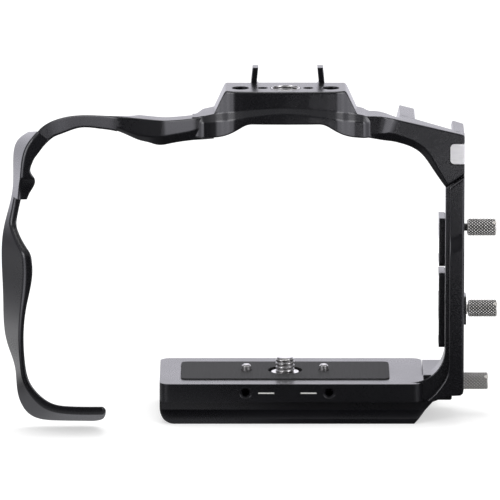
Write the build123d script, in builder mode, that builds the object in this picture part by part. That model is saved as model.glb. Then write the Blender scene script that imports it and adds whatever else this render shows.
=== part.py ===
"""Full camera cage with a grip guard, a dovetail base and a two-jaw cable clamp.

Frame: +X to the viewer's right, +Y away from the viewer, +Z up, millimetres.
The origin is on the standing plane, under the middle of the outline.
Front-view outlines are drawn on vertical planes that face -Y.
"""
from build123d import *
import math
import os

os.makedirs("parts", exist_ok=True)

# ---------------------------------------------------------------- levels
PLATE_H = 7.6  # dovetail plate under the base bar
BAR_H = 6.2  # base bar
BAY_H = 89.4  # camera bay, from the base bar to the underside of the bridge
BRIDGE_H = 10.8  # bridge, underside to top
OVERCUT = 1.0  # how far a cutting shape passes the faces that it cuts
LENS_X = 11.8  # lens axis of the held camera, middle of the bridge

base_top = PLATE_H + BAR_H
bridge_under = base_top + BAY_H
bridge_top = bridge_under + BRIDGE_H

# ---------------------------------------------------------------- base
BASE_LEFT_X = -30.3
BASE_DEPTH = 40.0
BAR_SEAM_IN = 13.5  # seam between the base bar and the corner, in from the column's outer side
BAR_CORNER_R = 3.5
PLATE_END_IN = 9.7  # right end of the dovetail plate, in from the column's outer side
PLATE_END_SLANT = 6.8  # the plate's right end leans in by this much
PLATE_LEFT_R = 5.0
DOVETAIL_W = 38.0
DOVETAIL_LIP = 1.7
DOVETAIL_BEVEL = 2.6
PLATE_SCREW_R = 1.25
PLATE_SCREW_GAP = 0.15
PLATE_SCREW_SINK = 0.1  # heads below the underside
PLATE_SCREW_HEX_R = 0.9
PLATE_SCREW_HEX_DEPTH = 1.3
PLATE_SCREW_TAP = 4.2
PLATE_SCREW_HEAD_R = 2.4
PLATE_SCREW_L = 11.0
PLATE_SCREW_LEFT_IN = 6.3
PLATE_SCREW_RIGHT_IN = 8.0
PLATE_SCREW_Y = 13.0
PAD_T = 0.9
PAD_POCKET = 0.5
PAD_L = 70.0
PAD_W = 26.0
PAD_CORNER_R = 2.0
PAD_FIT = 0.1
PAD_SCREW_GAP = 1.2
PAD_PIN_GAP = 0.3
FRONT_HOLE_R = 1.25  # M3 thread, tap size
FRONT_HOLE_PITCH = 28.0
FRONT_HOLE_X = 12.5
FRONT_HOLE_DEPTH = 8.0
FRONT_SINK_R = 1.9
DASH_L = 5.6
DASH_H = 0.6
DASH_DEPTH = 0.3
DASH_OFFSET = 7.1

# ---------------------------------------------------------------- threads and screws
QUARTER_R = 3.175  # 1/4 in thread, nominal radius
QUARTER_TAP_R = 2.6
QUARTER_PITCH = 1.27
THREE_EIGHTHS_TAP_R = 4.0
QUARTER_OFFSET = -20.0  # threads of the underside, from the lens axis
THREE_EIGHTHS_OFFSET = 19.0
HOLE_CHAMFER = 0.4
RUN_GAP = 0.06  # radial running clearance of the screws
SEAT_GAP = 0.05

CAMERA_SCREW_HEAD_R = 5.5
CAMERA_SCREW_HEAD_H = 3.4
CAMERA_SCREW_REACH = 5.0  # thread above the base bar
CAMERA_SCREW_TURNS = 3
CAMERA_CLIP_R = 4.6
CAMERA_CLIP_T = 0.8
CAMERA_CLIP_GAP = 0.4
CAMERA_SCREW_WELL_GAP = 0.75
CAMERA_SCREW_CHAMFER = 0.6
CAMERA_SLOT_W = 1.6
CAMERA_SLOT_DEPTH = 1.5
CAMERA_GROOVE = 0.6
LOCATING_PIN_R = 1.5
LOCATING_PIN_H = 6.4
LOCATING_PIN_SEAT = 4.0
LOCATING_PIN_CHAMFER = 0.5
LOCATING_PIN_PITCH = 26.0

# ---------------------------------------------------------------- bridge
BRIDGE_DEPTH = 13.7
BRIDGE_BOW = 4.0  # the front edge bows forward at the middle
BRIDGE_TOP_HALF = 20.1
BRIDGE_FOOT_HALF = 24.0
BRIDGE_END_HALF = 26.8
BRIDGE_SLOPE_DROP = 8.5
BRIDGE_END_DROP = 8.8
BRIDGE_FLAT_HALF = 12.8
BRIDGE_LEG_DROP = 5.4
BRIDGE_LEG_BEND = ((22.0, 4.9), (17.9, 3.2))  # out from the lens axis, down from the underside
BRIDGE_HOLE_SETBACK = 3.7
BRIDGE_QUARTER_PITCH = 30.0
BRIDGE_PIN_PITCH = 15.2
BRIDGE_PIN_R = 1.6
BRIDGE_PIN_DEPTH = 4.0
INSERT_R = 4.9
INSERT_H = 8.0
INSERT_LEDGE = 0.4
INSERT_PROUD = 0.1
INSERT_CHAMFER = 0.3
RIB_DROP = 5.5  # top of the arched rib at the middle, below the bridge top
RIB_PROUD = 1.4

EAR_T = 1.9
EAR_H = 4.9  # above the bridge
EAR_DEPTH = 5.0
EAR_SPAN = 24.5
EAR_BAR_H = 6.0
EAR_LEAN = 0.5
EAR_SHIFT = 0.8  # to the right of the lens axis
EAR_BAR_DROP = 1.0

# ---------------------------------------------------------------- shoulder and column
COLUMN_OUT_X = 71.5
COLUMN_T = 6.3
COLUMN_DEPTH = 10.5
COLUMN_SETBACK = 0.5
COLUMN_BOTTOM = 1.9  # above the top of the dovetail plate
COLUMN_FOOT_RUN = 4.4
COLUMN_EDGE = 1.0
COLUMN_BAND_W = 5.0  # proud outer band of the column's front
WEB_RECESS = 1.8  # the corner and the inner edge lie this far behind the band
FACE_STEP = 1.2  # the upper half of the column's front lies back by this much
FACE_STEP_LOW = 57.5
FACE_STEP_HIGH = 63.5
COLUMN_CORNER_R = 11.5
SHOULDER_DEPTH = 10.5
SHOULDER_DROP = 8.9  # from the bridge top to the flat of the shoulder
SHOULDER_SLOPE = 13.6  # degrees, outer half
SHOULDER_BEND_X = 42.9
SHOULDER_BEND_OUT = 4.0  # the bend is rounded over this much of the slope
SHOULDER_BEND_FLAT = 3.0
SHOULDER_LEG = ((8.8, 7.3), (17.7, 10.9), (22.4, 17.0))  # from its left end, below the bridge
NOTCH_IN = 34.0  # below the bridge top: V between shoulder and column
NOTCH_RISE = 4.3
SHOULDER_BACK_CUT = 4.2  # bevel of the rear top edge, up to the cold shoe
SHOULDER_CUT_START = 3.0  # from the shoulder's left end
SHOE_MID_IN = 10.0  # middle of the cold shoe, in from the outer side
SHOE_IN_SIDE = 11.8  # from the middle of the shoe to its inner side
SHOE_OUT_SIDE = 14.0  # cut off at the outer side of the cage
SHOE_GAP = 12.8
SHOE_CHANNEL_W = 18.7
SHOE_CHANNEL_H = 2.2
SHOE_LIP_T = 1.9
SHOE_FLOOR_T = 2.0
SHOE_STOP_IN = 12.6  # thickness of the front stop at its inner and outer end
SHOE_STOP_OUT = 7.4
SHOE_REAR_IN = 31.0  # the rear end is cut obliquely
SHOE_REAR_OUT = 23.5
SHOE_END_CUT = 0.9
BADGE_W = 4.8
BADGE_H = 6.8
BADGE_T = 0.8
BADGE_SIDE = 7.5
BADGE_DROP = 22.2  # centre of the badge below the bridge top
BADGE_FIT = 0.1
BADGE_PROUD = 0.1
BADGE_CORNER_R = 1.4
BLOCK_DEPTH = 27.0
BLOCK_IN = 3.9  # outer side of the block, in from the column's outer side
BLOCK_H = 8.6

# ---------------------------------------------------------------- cable clamp
BRACKET_T = 3.0
BRACKET_GAP_Y = 1.2  # behind the column
BRACKET_W = 14.0
BRACKET_TOP = 71.0
BRACKET_BOTTOM = 1.0  # above the bottom of the side block
BRACKET_CORNER_R = 1.5
BOSS_CORNER_R = 1.0
SCREW_SHIFT = 1.0  # the screws stand this far forward of the bracket's middle
TAB_T = 2.0
TAB_H = 12.0
BOSS_T = 1.9
BOSS_H = 9.7
SCREW_R = 1.25
SCREW_PITCH = 0.45
SCREW_TURNS = 3
FIXING_TURNS = 8
HEAD_R = 2.9
HEAD_L = 9.8
HEAD_CHAMFER = 0.5
SLOT_W = 1.0
SLOT_DEPTH = 1.2
SLOT_TURN = -44.0  # degrees
TIP_CHAMFER = 0.3
SCREW_GROOVE = 0.35
TIP_IN = 0.3  # tip behind the inner face of its jaw
CLIP_R = 2.3
CLIP_T = 0.6
CLIP_GAP = 0.4
UPPER_Z = 63.7
LOWER_Z = 35.9
FIXING_Z = 10.9
JAW_T = 2.0
JAW_INSET = 0.7
JAW_PAD_T = 0.6
JAW_PAD_INSET = 0.3
JAW_CORNER_R = 1.2
JAW_GAP = 1.7
UPPER_JAW_LOW = 13.2  # below the upper screw
UPPER_JAW_HIGH = 4.6
UPPER_SLOT_DROP = 7.3
LOWER_JAW_LOW = 13.2
LOWER_JAW_HIGH = 13.6
LOWER_SLOT_RISE = 7.6
PLUG_SLOT_H = 6.6
PLUG_SLOT_DEPTH = 8.6
GUIDE_PIN_R = 0.9
GUIDE_PIN_ENTRY = 1.8
GUIDE_PIN_RISE = 1.3
GUIDE_PIN_SETBACK = 2.6
GUIDE_PIN_GAP = 0.1
COLLAR_R = 2.0
COLLAR_T = 0.4
NECK_L = 0.25
HEAD_STAGGER = 0.4
FIXING_BORE = 6.5
FIXING_REACH = 5.4

# ---------------------------------------------------------------- arch and guard
ARCH_DEPTH = 8.0
GUARD_FRONT = 17.0  # the guard's front rim, forward of the common front plane
GUARD_DEPTH = 15.0
GUARD_OUT_X = -83.0  # widest point of the guard, on its rear edge
GUARD_JOIN_X = -70.2
GUARD_JOIN_W = 3.7
GUARD_JOIN_DROP = 10.1
GUARD_JOIN_LEAN = 3.4
FOOT_END_X = -48.0
FOOT_END_R = 1.5  # front corner of the foot's end, in plan
FOOT_END_TAPER = 5.0  # length of the rounding behind
FINGER_NOTCH_DEPTH = 10.0
FINGER_NOTCH_TOP = 80.0
FINGER_NOTCH_H = 19.0
FINGER_NOTCH_FLAT = 8.5


# the origin is midway between the guard's rim and the back of the base
front_y = (GUARD_FRONT - BASE_DEPTH) / 2
bar_right_x = COLUMN_OUT_X - BAR_SEAM_IN
plate_right_x = COLUMN_OUT_X - PLATE_END_IN
block_out_x = COLUMN_OUT_X - BLOCK_IN
plate_screw_x = (BASE_LEFT_X + PLATE_SCREW_LEFT_IN, bar_right_x - PLATE_SCREW_RIGHT_IN)


def front_plane(forward=0.0):
    """Vertical plane that faces the viewer, this far forward of the common front plane."""
    return Plane.XZ.offset(forward - front_y)


def side_plane(x):
    """Vertical plane across X, looking along +X: its first axis is +Y and its second +Z."""
    return Plane(origin=(x, 0, 0), x_dir=(0, 1, 0), z_dir=(1, 0, 0))


def save(piece, name):
    """Label a finished piece and write it under its node name."""
    piece.label = name
    export_step(piece, f"parts/{name}.step")


base_mid_y = front_y + BASE_DEPTH / 2
bracket_front_y = front_y + COLUMN_SETBACK + COLUMN_DEPTH + BRACKET_GAP_Y
bracket_back_y = bracket_front_y + BRACKET_W
clamp_y = bracket_front_y + BRACKET_W / 2 - SCREW_SHIFT
bracket_in_x = block_out_x
bracket_out_x = bracket_in_x + BRACKET_T
jaw_out_x = bracket_in_x - JAW_GAP - JAW_PAD_T
jaw_in_x = jaw_out_x - JAW_T

# ================================================================ base bar
with BuildPart() as base_bar:
    with BuildSketch(Plane.XY.offset(PLATE_H)):
        with BuildLine():
            Polyline(
                (BASE_LEFT_X, front_y),
                (bar_right_x, front_y),
                (bar_right_x, front_y + BASE_DEPTH),
                (BASE_LEFT_X, front_y + BASE_DEPTH),
                close=True,
            )
        make_face()
    extrude(amount=BAR_H)
    fillet(base_bar.edges().filter_by(Axis.Z), radius=BAR_CORNER_R)
    # pocket for the rubber pad
    with BuildSketch(Plane.XY.offset(base_top - PAD_POCKET)):
        with Locations((LENS_X, base_mid_y)):
            RectangleRounded(PAD_L, PAD_W, PAD_CORNER_R)
    extrude(amount=PAD_POCKET, mode=Mode.SUBTRACT)
    # bore of the camera screw, with the recess that its retaining clip runs in
    with Locations(Location((LENS_X, base_mid_y, PLATE_H))):
        Cylinder(QUARTER_R + RUN_GAP, BAR_H, align=(Align.CENTER, Align.CENTER, Align.MIN), mode=Mode.SUBTRACT)
    clip_travel = QUARTER_PITCH * CAMERA_SCREW_TURNS
    with Locations(Location((LENS_X, base_mid_y, base_top))):
        Cylinder(
            CAMERA_CLIP_R + CAMERA_CLIP_GAP,
            clip_travel + CAMERA_CLIP_T + 3 * SEAT_GAP,
            align=(Align.CENTER, Align.CENTER, Align.MAX),
            mode=Mode.SUBTRACT,
        )
    # seats of the two locating pins
    with Locations(*[(LENS_X + s * LOCATING_PIN_PITCH / 2, base_mid_y, base_top) for s in (-1, 1)]):
        Cylinder(
            LOCATING_PIN_R, LOCATING_PIN_SEAT, align=(Align.CENTER, Align.CENTER, Align.MAX), mode=Mode.SUBTRACT
        )
    # threads for the screws that hold the dovetail plate
    with Locations(
        *[(x, base_mid_y + s * PLATE_SCREW_Y, PLATE_H) for x in plate_screw_x for s in (-1, 1)]
    ):
        Cylinder(
            PLATE_SCREW_R + RUN_GAP,
            PLATE_SCREW_TAP,
            align=(Align.CENTER, Align.CENTER, Align.MIN),
            mode=Mode.SUBTRACT,
        )
    # two M3 holes in the front face, with a countersink, and the engraved dashes between them
    hole_z = PLATE_H + BAR_H / 2
    for side in (-1, 1):
        with Locations(
            Location((FRONT_HOLE_X + side * FRONT_HOLE_PITCH / 2, front_y, hole_z), (90, 0, 0))
        ):
            CounterSinkHole(FRONT_HOLE_R, FRONT_SINK_R, depth=FRONT_HOLE_DEPTH)
    with BuildSketch(front_plane()):
        with Locations(*[(FRONT_HOLE_X + s * DASH_OFFSET, hole_z) for s in (-1, 1)]):
            Rectangle(DASH_L, DASH_H)
    extrude(amount=-DASH_DEPTH, mode=Mode.SUBTRACT)
save(base_bar.part, "base_bar")

# ================================================================ dovetail plate
with BuildPart() as dovetail_plate:
    # side outline: lip, 45 degree bevel and neck on both long sides
    neck_half = DOVETAIL_W / 2 - DOVETAIL_BEVEL
    with BuildSketch(side_plane(BASE_LEFT_X)):
        with BuildLine():
            Polyline(
                (base_mid_y - DOVETAIL_W / 2, 0),
                (base_mid_y + DOVETAIL_W / 2, 0),
                (base_mid_y + DOVETAIL_W / 2, DOVETAIL_LIP),
                (base_mid_y + neck_half, DOVETAIL_LIP + DOVETAIL_BEVEL),
                (base_mid_y + neck_half, PLATE_H),
                (base_mid_y - neck_half, PLATE_H),
                (base_mid_y - neck_half, DOVETAIL_LIP + DOVETAIL_BEVEL),
                (base_mid_y - DOVETAIL_W / 2, DOVETAIL_LIP),
                close=True,
            )
        make_face()
    extrude(amount=plate_right_x - BASE_LEFT_X)
    # front outline: rounded lower left end and slanted right end
    with BuildSketch(front_plane(OVERCUT)):
        with BuildLine():
            end_start = Line((BASE_LEFT_X, PLATE_H), (BASE_LEFT_X, PLATE_LEFT_R))
            RadiusArc(end_start @ 1, (BASE_LEFT_X + PLATE_LEFT_R, 0), -PLATE_LEFT_R)
            Polyline(
                (BASE_LEFT_X + PLATE_LEFT_R, 0),
                (plate_right_x - PLATE_END_SLANT, 0),
                (plate_right_x, PLATE_H),
                (BASE_LEFT_X, PLATE_H),
            )
        make_face()
    extrude(amount=-(BASE_DEPTH + 2 * OVERCUT), mode=Mode.INTERSECT)
    # well for the head of the camera screw, which stands clear of the ground at full travel
    with Locations(Location((LENS_X, base_mid_y, 0))):
        Cylinder(
            CAMERA_SCREW_HEAD_R + CAMERA_SCREW_WELL_GAP,
            PLATE_H,
            align=(Align.CENTER, Align.CENTER, Align.MIN),
            mode=Mode.SUBTRACT,
        )
    # countersunk seats of the four plate screws
    for x in plate_screw_x:
        for s in (-1, 1):
            with Locations(Location((x, base_mid_y + s * PLATE_SCREW_Y, 0), (180, 0, 0))):
                CounterSinkHole(
                    PLATE_SCREW_R + PLATE_SCREW_GAP, PLATE_SCREW_HEAD_R + PLATE_SCREW_SINK, depth=PLATE_H
                )
    # threads for a tripod or a second plate
    for offset, r in ((QUARTER_OFFSET, QUARTER_TAP_R), (THREE_EIGHTHS_OFFSET, THREE_EIGHTHS_TAP_R)):
        with Locations(Location((LENS_X + offset, base_mid_y, 0))):
            Cylinder(r, PLATE_H, align=(Align.CENTER, Align.CENTER, Align.MIN), mode=Mode.SUBTRACT)
save(dovetail_plate.part, "dovetail_plate")

with BuildPart() as plate_screws:
    # countersunk screws, heads flush with the underside of the plate
    for x in plate_screw_x:
        for s in (-1, 1):
            with BuildSketch(Plane(origin=(x, base_mid_y + s * PLATE_SCREW_Y, 0), x_dir=(1, 0, 0), z_dir=(0, -1, 0))):
                with BuildLine():
                    Polyline(
                        (0, PLATE_SCREW_SINK),
                        (PLATE_SCREW_HEAD_R, PLATE_SCREW_SINK),
                        (PLATE_SCREW_R, PLATE_SCREW_SINK + PLATE_SCREW_HEAD_R - PLATE_SCREW_R),
                        (PLATE_SCREW_R, PLATE_SCREW_L),
                        (0, PLATE_SCREW_L),
                        close=True,
                    )
                make_face()
            revolve(axis=Axis((x, base_mid_y + s * PLATE_SCREW_Y, 0), (0, 0, 1)))
            with BuildSketch(Plane.XY):
                with Locations((x, base_mid_y + s * PLATE_SCREW_Y)):
                    RegularPolygon(PLATE_SCREW_HEX_R, 6)
            extrude(amount=PLATE_SCREW_HEX_DEPTH, mode=Mode.SUBTRACT)
save(plate_screws.part, "plate_screws")

with BuildPart() as base_pad:
    # rubber pad under the camera, open round the camera screw and its pins
    with BuildSketch(Plane.XY.offset(base_top - PAD_POCKET)):
        with Locations((LENS_X, base_mid_y)):
            RectangleRounded(PAD_L - 2 * PAD_FIT, PAD_W - 2 * PAD_FIT, PAD_CORNER_R - PAD_FIT)
            Circle(CAMERA_CLIP_R + PAD_SCREW_GAP, mode=Mode.SUBTRACT)
        with Locations(*[(LENS_X + s * LOCATING_PIN_PITCH / 2, base_mid_y) for s in (-1, 1)]):
            Circle(LOCATING_PIN_R + PAD_PIN_GAP, mode=Mode.SUBTRACT)
    extrude(amount=PAD_T)
save(base_pad.part, "base_pad")

with BuildPart() as locating_pins:
    pin_foot_z = base_top - LOCATING_PIN_SEAT
    with Locations(*[(LENS_X + s * LOCATING_PIN_PITCH / 2, base_mid_y, pin_foot_z) for s in (-1, 1)]):
        Cylinder(LOCATING_PIN_R, LOCATING_PIN_H, align=(Align.CENTER, Align.CENTER, Align.MIN))
    chamfer(
        locating_pins.faces().filter_by(Axis.Z).group_by(Axis.Z)[-1].edges(), length=LOCATING_PIN_CHAMFER
    )
save(locating_pins.part, "locating_pins")

# ================================================================ camera screw and its clip
with BuildPart() as camera_screw:
    head_top = PLATE_H - SEAT_GAP
    with Locations(Location((LENS_X, base_mid_y, head_top))):
        Cylinder(CAMERA_SCREW_HEAD_R, CAMERA_SCREW_HEAD_H, align=(Align.CENTER, Align.CENTER, Align.MAX))
    with Locations(Location((LENS_X, base_mid_y, head_top))):
        Cylinder(
            QUARTER_R, BAR_H + SEAT_GAP + CAMERA_SCREW_REACH, align=(Align.CENTER, Align.CENTER, Align.MIN)
        )
    chamfer(camera_screw.faces().sort_by(Axis.Z)[-1].edges(), length=CAMERA_SCREW_CHAMFER)
    # slot across the head
    with Locations(Location((LENS_X, base_mid_y, head_top - CAMERA_SCREW_HEAD_H))):
        Box(
            2 * CAMERA_SCREW_HEAD_R,
            CAMERA_SLOT_W,
            CAMERA_SLOT_DEPTH,
            align=(Align.CENTER, Align.CENTER, Align.MIN),
            mode=Mode.SUBTRACT,
        )
    # groove that the retaining clip snaps into
    clip_top = base_top - SEAT_GAP
    with Locations(Location((LENS_X, base_mid_y, clip_top))):
        Cylinder(QUARTER_R, CAMERA_CLIP_T, align=(Align.CENTER, Align.CENTER, Align.MAX), mode=Mode.SUBTRACT)
        Cylinder(QUARTER_R - CAMERA_GROOVE, CAMERA_CLIP_T, align=(Align.CENTER, Align.CENTER, Align.MAX))
save(camera_screw.part, "camera_screw")

with BuildPart() as camera_screw_clip:
    with BuildSketch(Plane.XY.offset(clip_top)):
        with Locations((LENS_X, base_mid_y)):
            Circle(CAMERA_CLIP_R)
            Circle(QUARTER_R - CAMERA_GROOVE + RUN_GAP, mode=Mode.SUBTRACT)
    extrude(amount=-(CAMERA_CLIP_T - SEAT_GAP))
save(camera_screw_clip.part, "camera_screw_clip")

# ================================================================ bridge
hole_y = front_y + BRIDGE_HOLE_SETBACK
bridge_left_x = LENS_X - BRIDGE_END_HALF
bridge_right_x = LENS_X + BRIDGE_END_HALF
rib_sag = BRIDGE_END_DROP - RIB_DROP  # the rib's ends lie this much lower than its middle


def bridge_plan(forward):
    """Plan outline of the bridge, with a front edge that bows forward between its slopes."""
    with BuildLine() as plan:
        left_front = (bridge_left_x, front_y - forward)
        right_front = (bridge_right_x, front_y - forward)
        bow_start = (LENS_X - BRIDGE_TOP_HALF, front_y - forward)
        bow_end = (LENS_X + BRIDGE_TOP_HALF, front_y - forward)
        Line(left_front, bow_start)
        ThreePointArc(bow_start, (LENS_X, front_y - forward - BRIDGE_BOW), bow_end)
        Polyline(
            bow_end,
            right_front,
            (bridge_right_x, front_y + BRIDGE_DEPTH),
            (bridge_left_x, front_y + BRIDGE_DEPTH),
            left_front,
        )
    make_face(plan.edges())


def bridge_underside():
    """Right half of the underside in front view, from the end to the middle."""
    leg = Spline(
        (bridge_right_x, bridge_under - BRIDGE_LEG_DROP),
        *[(LENS_X + out, bridge_under - drop) for out, drop in BRIDGE_LEG_BEND],
        (LENS_X + BRIDGE_FLAT_HALF, bridge_under),
        tangents=[(-1, 0.05), (-1, 0.25)],
    )
    Line(leg @ 1, (LENS_X, bridge_under))


with BuildPart() as bridge_rib:
    # arched rib along the lower edge, proud of the face above it
    with BuildSketch(front_plane(2 * BRIDGE_BOW)):
        with BuildLine():
            bridge_underside()
            Line(
                (bridge_right_x, bridge_under - BRIDGE_LEG_DROP),
                (bridge_right_x, bridge_top - BRIDGE_END_DROP),
            )
            rib_mid_z = bridge_top - RIB_DROP - rib_sag * (BRIDGE_TOP_HALF / BRIDGE_END_HALF) ** 2
            ThreePointArc(
                (bridge_right_x, bridge_top - BRIDGE_END_DROP),
                (LENS_X + BRIDGE_TOP_HALF, rib_mid_z),
                (LENS_X, bridge_top - RIB_DROP),
            )
            mirror(about=Plane.YZ.offset(LENS_X))
        make_face()
    extrude(amount=-(2 * BRIDGE_BOW + BRIDGE_DEPTH))
    with BuildSketch():
        bridge_plan(RIB_PROUD)
    extrude(amount=bridge_top, mode=Mode.INTERSECT)

with BuildPart() as bridge:
    with BuildSketch(front_plane(2 * BRIDGE_BOW)):
        with BuildLine():
            Polyline(
                (LENS_X, bridge_top),
                (LENS_X + BRIDGE_TOP_HALF, bridge_top),
                (LENS_X + BRIDGE_FOOT_HALF, bridge_top - BRIDGE_SLOPE_DROP),
                (bridge_right_x, bridge_top - BRIDGE_END_DROP),
                (bridge_right_x, bridge_under - BRIDGE_LEG_DROP),
            )
            bridge_underside()
            mirror(about=Plane.YZ.offset(LENS_X))
        make_face()
    extrude(amount=-(2 * BRIDGE_BOW + BRIDGE_DEPTH))
    with BuildSketch():
        bridge_plan(0.0)
    extrude(amount=bridge_top, mode=Mode.INTERSECT)
    add(bridge_rib.part)
    # threaded and pin holes in one row along the top
    with Locations(*[(LENS_X + s * BRIDGE_QUARTER_PITCH / 2, hole_y, bridge_top) for s in (-1, 1)]):
        CounterSinkHole(QUARTER_TAP_R, QUARTER_TAP_R + HOLE_CHAMFER, depth=2 * BRIDGE_H)
    with Locations(*[(LENS_X + s * BRIDGE_PIN_PITCH / 2, hole_y, bridge_top) for s in (-1, 1)]):
        Hole(BRIDGE_PIN_R, depth=BRIDGE_PIN_DEPTH)
    with Locations((LENS_X, hole_y, bridge_top)):
        Hole(INSERT_R, depth=INSERT_H)
        Hole(INSERT_R - INSERT_LEDGE, depth=2 * BRIDGE_H)
save(bridge.part, "bridge")

with BuildPart() as thread_insert:
    with BuildSketch(Plane.XY.offset(bridge_top + INSERT_PROUD)):
        with Locations((LENS_X, hole_y)):
            Circle(INSERT_R)
            Circle(THREE_EIGHTHS_TAP_R, mode=Mode.SUBTRACT)
    extrude(amount=-(INSERT_H + INSERT_PROUD))
    chamfer(thread_insert.faces().sort_by(Axis.Z)[-1].edges(), length=INSERT_CHAMFER)
save(thread_insert.part, "thread_insert")

with BuildPart() as shoe_guard:
    # U-shaped bracket behind the bridge: a bar with an ear at each end
    ear_mid_x = LENS_X + EAR_SHIFT
    ear_out_x = ear_mid_x + EAR_SPAN / 2
    with BuildSketch(front_plane(-BRIDGE_DEPTH)):
        with BuildLine():
            Polyline(
                (ear_mid_x, bridge_top - EAR_BAR_H),
                (ear_out_x, bridge_top - EAR_BAR_H),
                (ear_out_x, bridge_top),
                (ear_out_x - EAR_LEAN, bridge_top + EAR_H),
                (ear_out_x - EAR_LEAN - EAR_T, bridge_top + EAR_H),
                (ear_out_x - EAR_T, bridge_top - EAR_BAR_DROP),
                (ear_mid_x, bridge_top - EAR_BAR_DROP),
            )
            mirror(about=Plane.YZ.offset(ear_mid_x))
        make_face()
    extrude(amount=-EAR_DEPTH)
save(shoe_guard.part, "shoe_guard")

# ================================================================ shoulder
shoulder_left_x = bridge_right_x
shoulder_top = bridge_top - SHOULDER_DROP
column_in_x = COLUMN_OUT_X - COLUMN_T
slope = math.tan(math.radians(SHOULDER_SLOPE))
shoulder_end_top = shoulder_top - slope * (COLUMN_OUT_X - SHOULDER_BEND_X)
notch_in_z = bridge_top - NOTCH_IN
notch_out_z = notch_in_z + NOTCH_RISE

shoe_mid_x = COLUMN_OUT_X - SHOE_MID_IN
shoe_mid_z = shoulder_top - slope * (shoe_mid_x - SHOULDER_BEND_X)
# the slanted top: local X goes down the slope, local Y to the rear
slope_cos = math.cos(math.radians(SHOULDER_SLOPE))
slope_sin = math.sin(math.radians(SHOULDER_SLOPE))
shoe_top = Plane(
    origin=(shoe_mid_x, front_y, shoe_mid_z),
    x_dir=(slope_cos, 0, -slope_sin),
    z_dir=(slope_sin, 0, slope_cos),
)
shoe_rear = SHOE_REAR_IN + SHOE_REAR_OUT  # beyond the rear end of the rails


def shoe_cut(width):
    """Plan of a cut between the rails, from the front stop to past the rear end."""
    with BuildLine() as cut_outline:
        Polyline(
            (-width / 2, SHOE_STOP_IN),
            (width / 2, SHOE_STOP_OUT),
            (width / 2, shoe_rear),
            (-width / 2, shoe_rear),
            close=True,
        )
    make_face(cut_outline.edges())


badge_z = bridge_top - BADGE_DROP

with BuildPart() as shoulder:
    with BuildSketch(front_plane()):
        with BuildLine():
            Spline(
                (shoulder_left_x, bridge_under - BRIDGE_LEG_DROP),
                *[(shoulder_left_x + out, bridge_under - drop) for out, drop in SHOULDER_LEG],
                (column_in_x, notch_in_z),
                tangents=[(1, -0.02), (0.45, -1)],
            )
            shoulder_bend = Polyline(
                (column_in_x, notch_in_z),
                (COLUMN_OUT_X, notch_out_z),
                (COLUMN_OUT_X, shoulder_end_top),
                (SHOULDER_BEND_X + SHOULDER_BEND_OUT, shoulder_top - SHOULDER_BEND_OUT * slope),
            )
            Spline(
                shoulder_bend @ 1,
                (SHOULDER_BEND_X - SHOULDER_BEND_FLAT, shoulder_top),
                tangents=[(-1, slope), (-1, 0)],
            )
            Polyline(
                (SHOULDER_BEND_X - SHOULDER_BEND_FLAT, shoulder_top),
                (shoulder_left_x, shoulder_top),
                (shoulder_left_x, bridge_under - BRIDGE_LEG_DROP),
            )
        make_face()
    extrude(amount=-SHOULDER_DEPTH)
    # the rear top edge is bevelled between the bridge and the cold shoe
    cut_y = front_y + SHOULDER_DEPTH
    cut_x = shoulder_left_x + SHOULDER_CUT_START
    with BuildSketch(side_plane(cut_x)):
        with BuildLine():
            Polyline(
                (cut_y - SHOULDER_BACK_CUT, shoulder_top),
                (cut_y, shoulder_top - SHOULDER_BACK_CUT),
                (cut_y + OVERCUT, shoulder_top - SHOULDER_BACK_CUT),
                (cut_y + OVERCUT, shoulder_top + OVERCUT),
                (cut_y - SHOULDER_BACK_CUT, shoulder_top + OVERCUT),
                close=True,
            )
        make_face()
    extrude(amount=shoe_mid_x - SHOE_IN_SIDE - cut_x, mode=Mode.SUBTRACT)
    # cold shoe: a table behind the slanted top, with two rails level with it, open at the rear
    with BuildSketch(shoe_top):
        with BuildLine():
            Polyline(
                (-SHOE_IN_SIDE, 0),
                (SHOE_OUT_SIDE, 0),
                (SHOE_OUT_SIDE, SHOE_REAR_OUT),
                (-SHOE_IN_SIDE + SHOE_END_CUT, SHOE_REAR_IN),
                (-SHOE_IN_SIDE, SHOE_REAR_IN - 2 * SHOE_END_CUT),
                close=True,
            )
        make_face()
    extrude(amount=-(SHOE_LIP_T + SHOE_CHANNEL_H + SHOE_FLOOR_T))
    with BuildSketch(shoe_top.offset(OVERCUT)):
        shoe_cut(SHOE_GAP)
    extrude(amount=-(OVERCUT + SHOE_LIP_T + SHOE_CHANNEL_H), mode=Mode.SUBTRACT)
    with BuildSketch(shoe_top.offset(-SHOE_LIP_T)):
        shoe_cut(SHOE_CHANNEL_W)
    extrude(amount=-SHOE_CHANNEL_H, mode=Mode.SUBTRACT)
    # nothing of the shoe passes the outer side of the cage
    with BuildSketch(front_plane(OVERCUT)):
        with Locations((COLUMN_OUT_X, notch_in_z)):
            Rectangle(SHOE_OUT_SIDE, bridge_top - notch_in_z, align=(Align.MIN, Align.MIN))
    extrude(amount=-(shoe_rear + OVERCUT), mode=Mode.SUBTRACT)
    # recess of the badge, on the front and round the outer side
    with BuildSketch(front_plane()):
        with Locations((COLUMN_OUT_X, badge_z)):
            Rectangle(BADGE_W + BADGE_FIT, BADGE_H + 2 * BADGE_FIT, align=(Align.MAX, Align.CENTER))
    extrude(amount=-BADGE_T, mode=Mode.SUBTRACT)
    with BuildSketch(front_plane()):
        with Locations((COLUMN_OUT_X, badge_z)):
            Rectangle(BADGE_T, BADGE_H + 2 * BADGE_FIT, align=(Align.MAX, Align.CENTER))
    extrude(amount=-(BADGE_SIDE + BADGE_FIT), mode=Mode.SUBTRACT)
save(shoulder.part, "shoulder")

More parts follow.
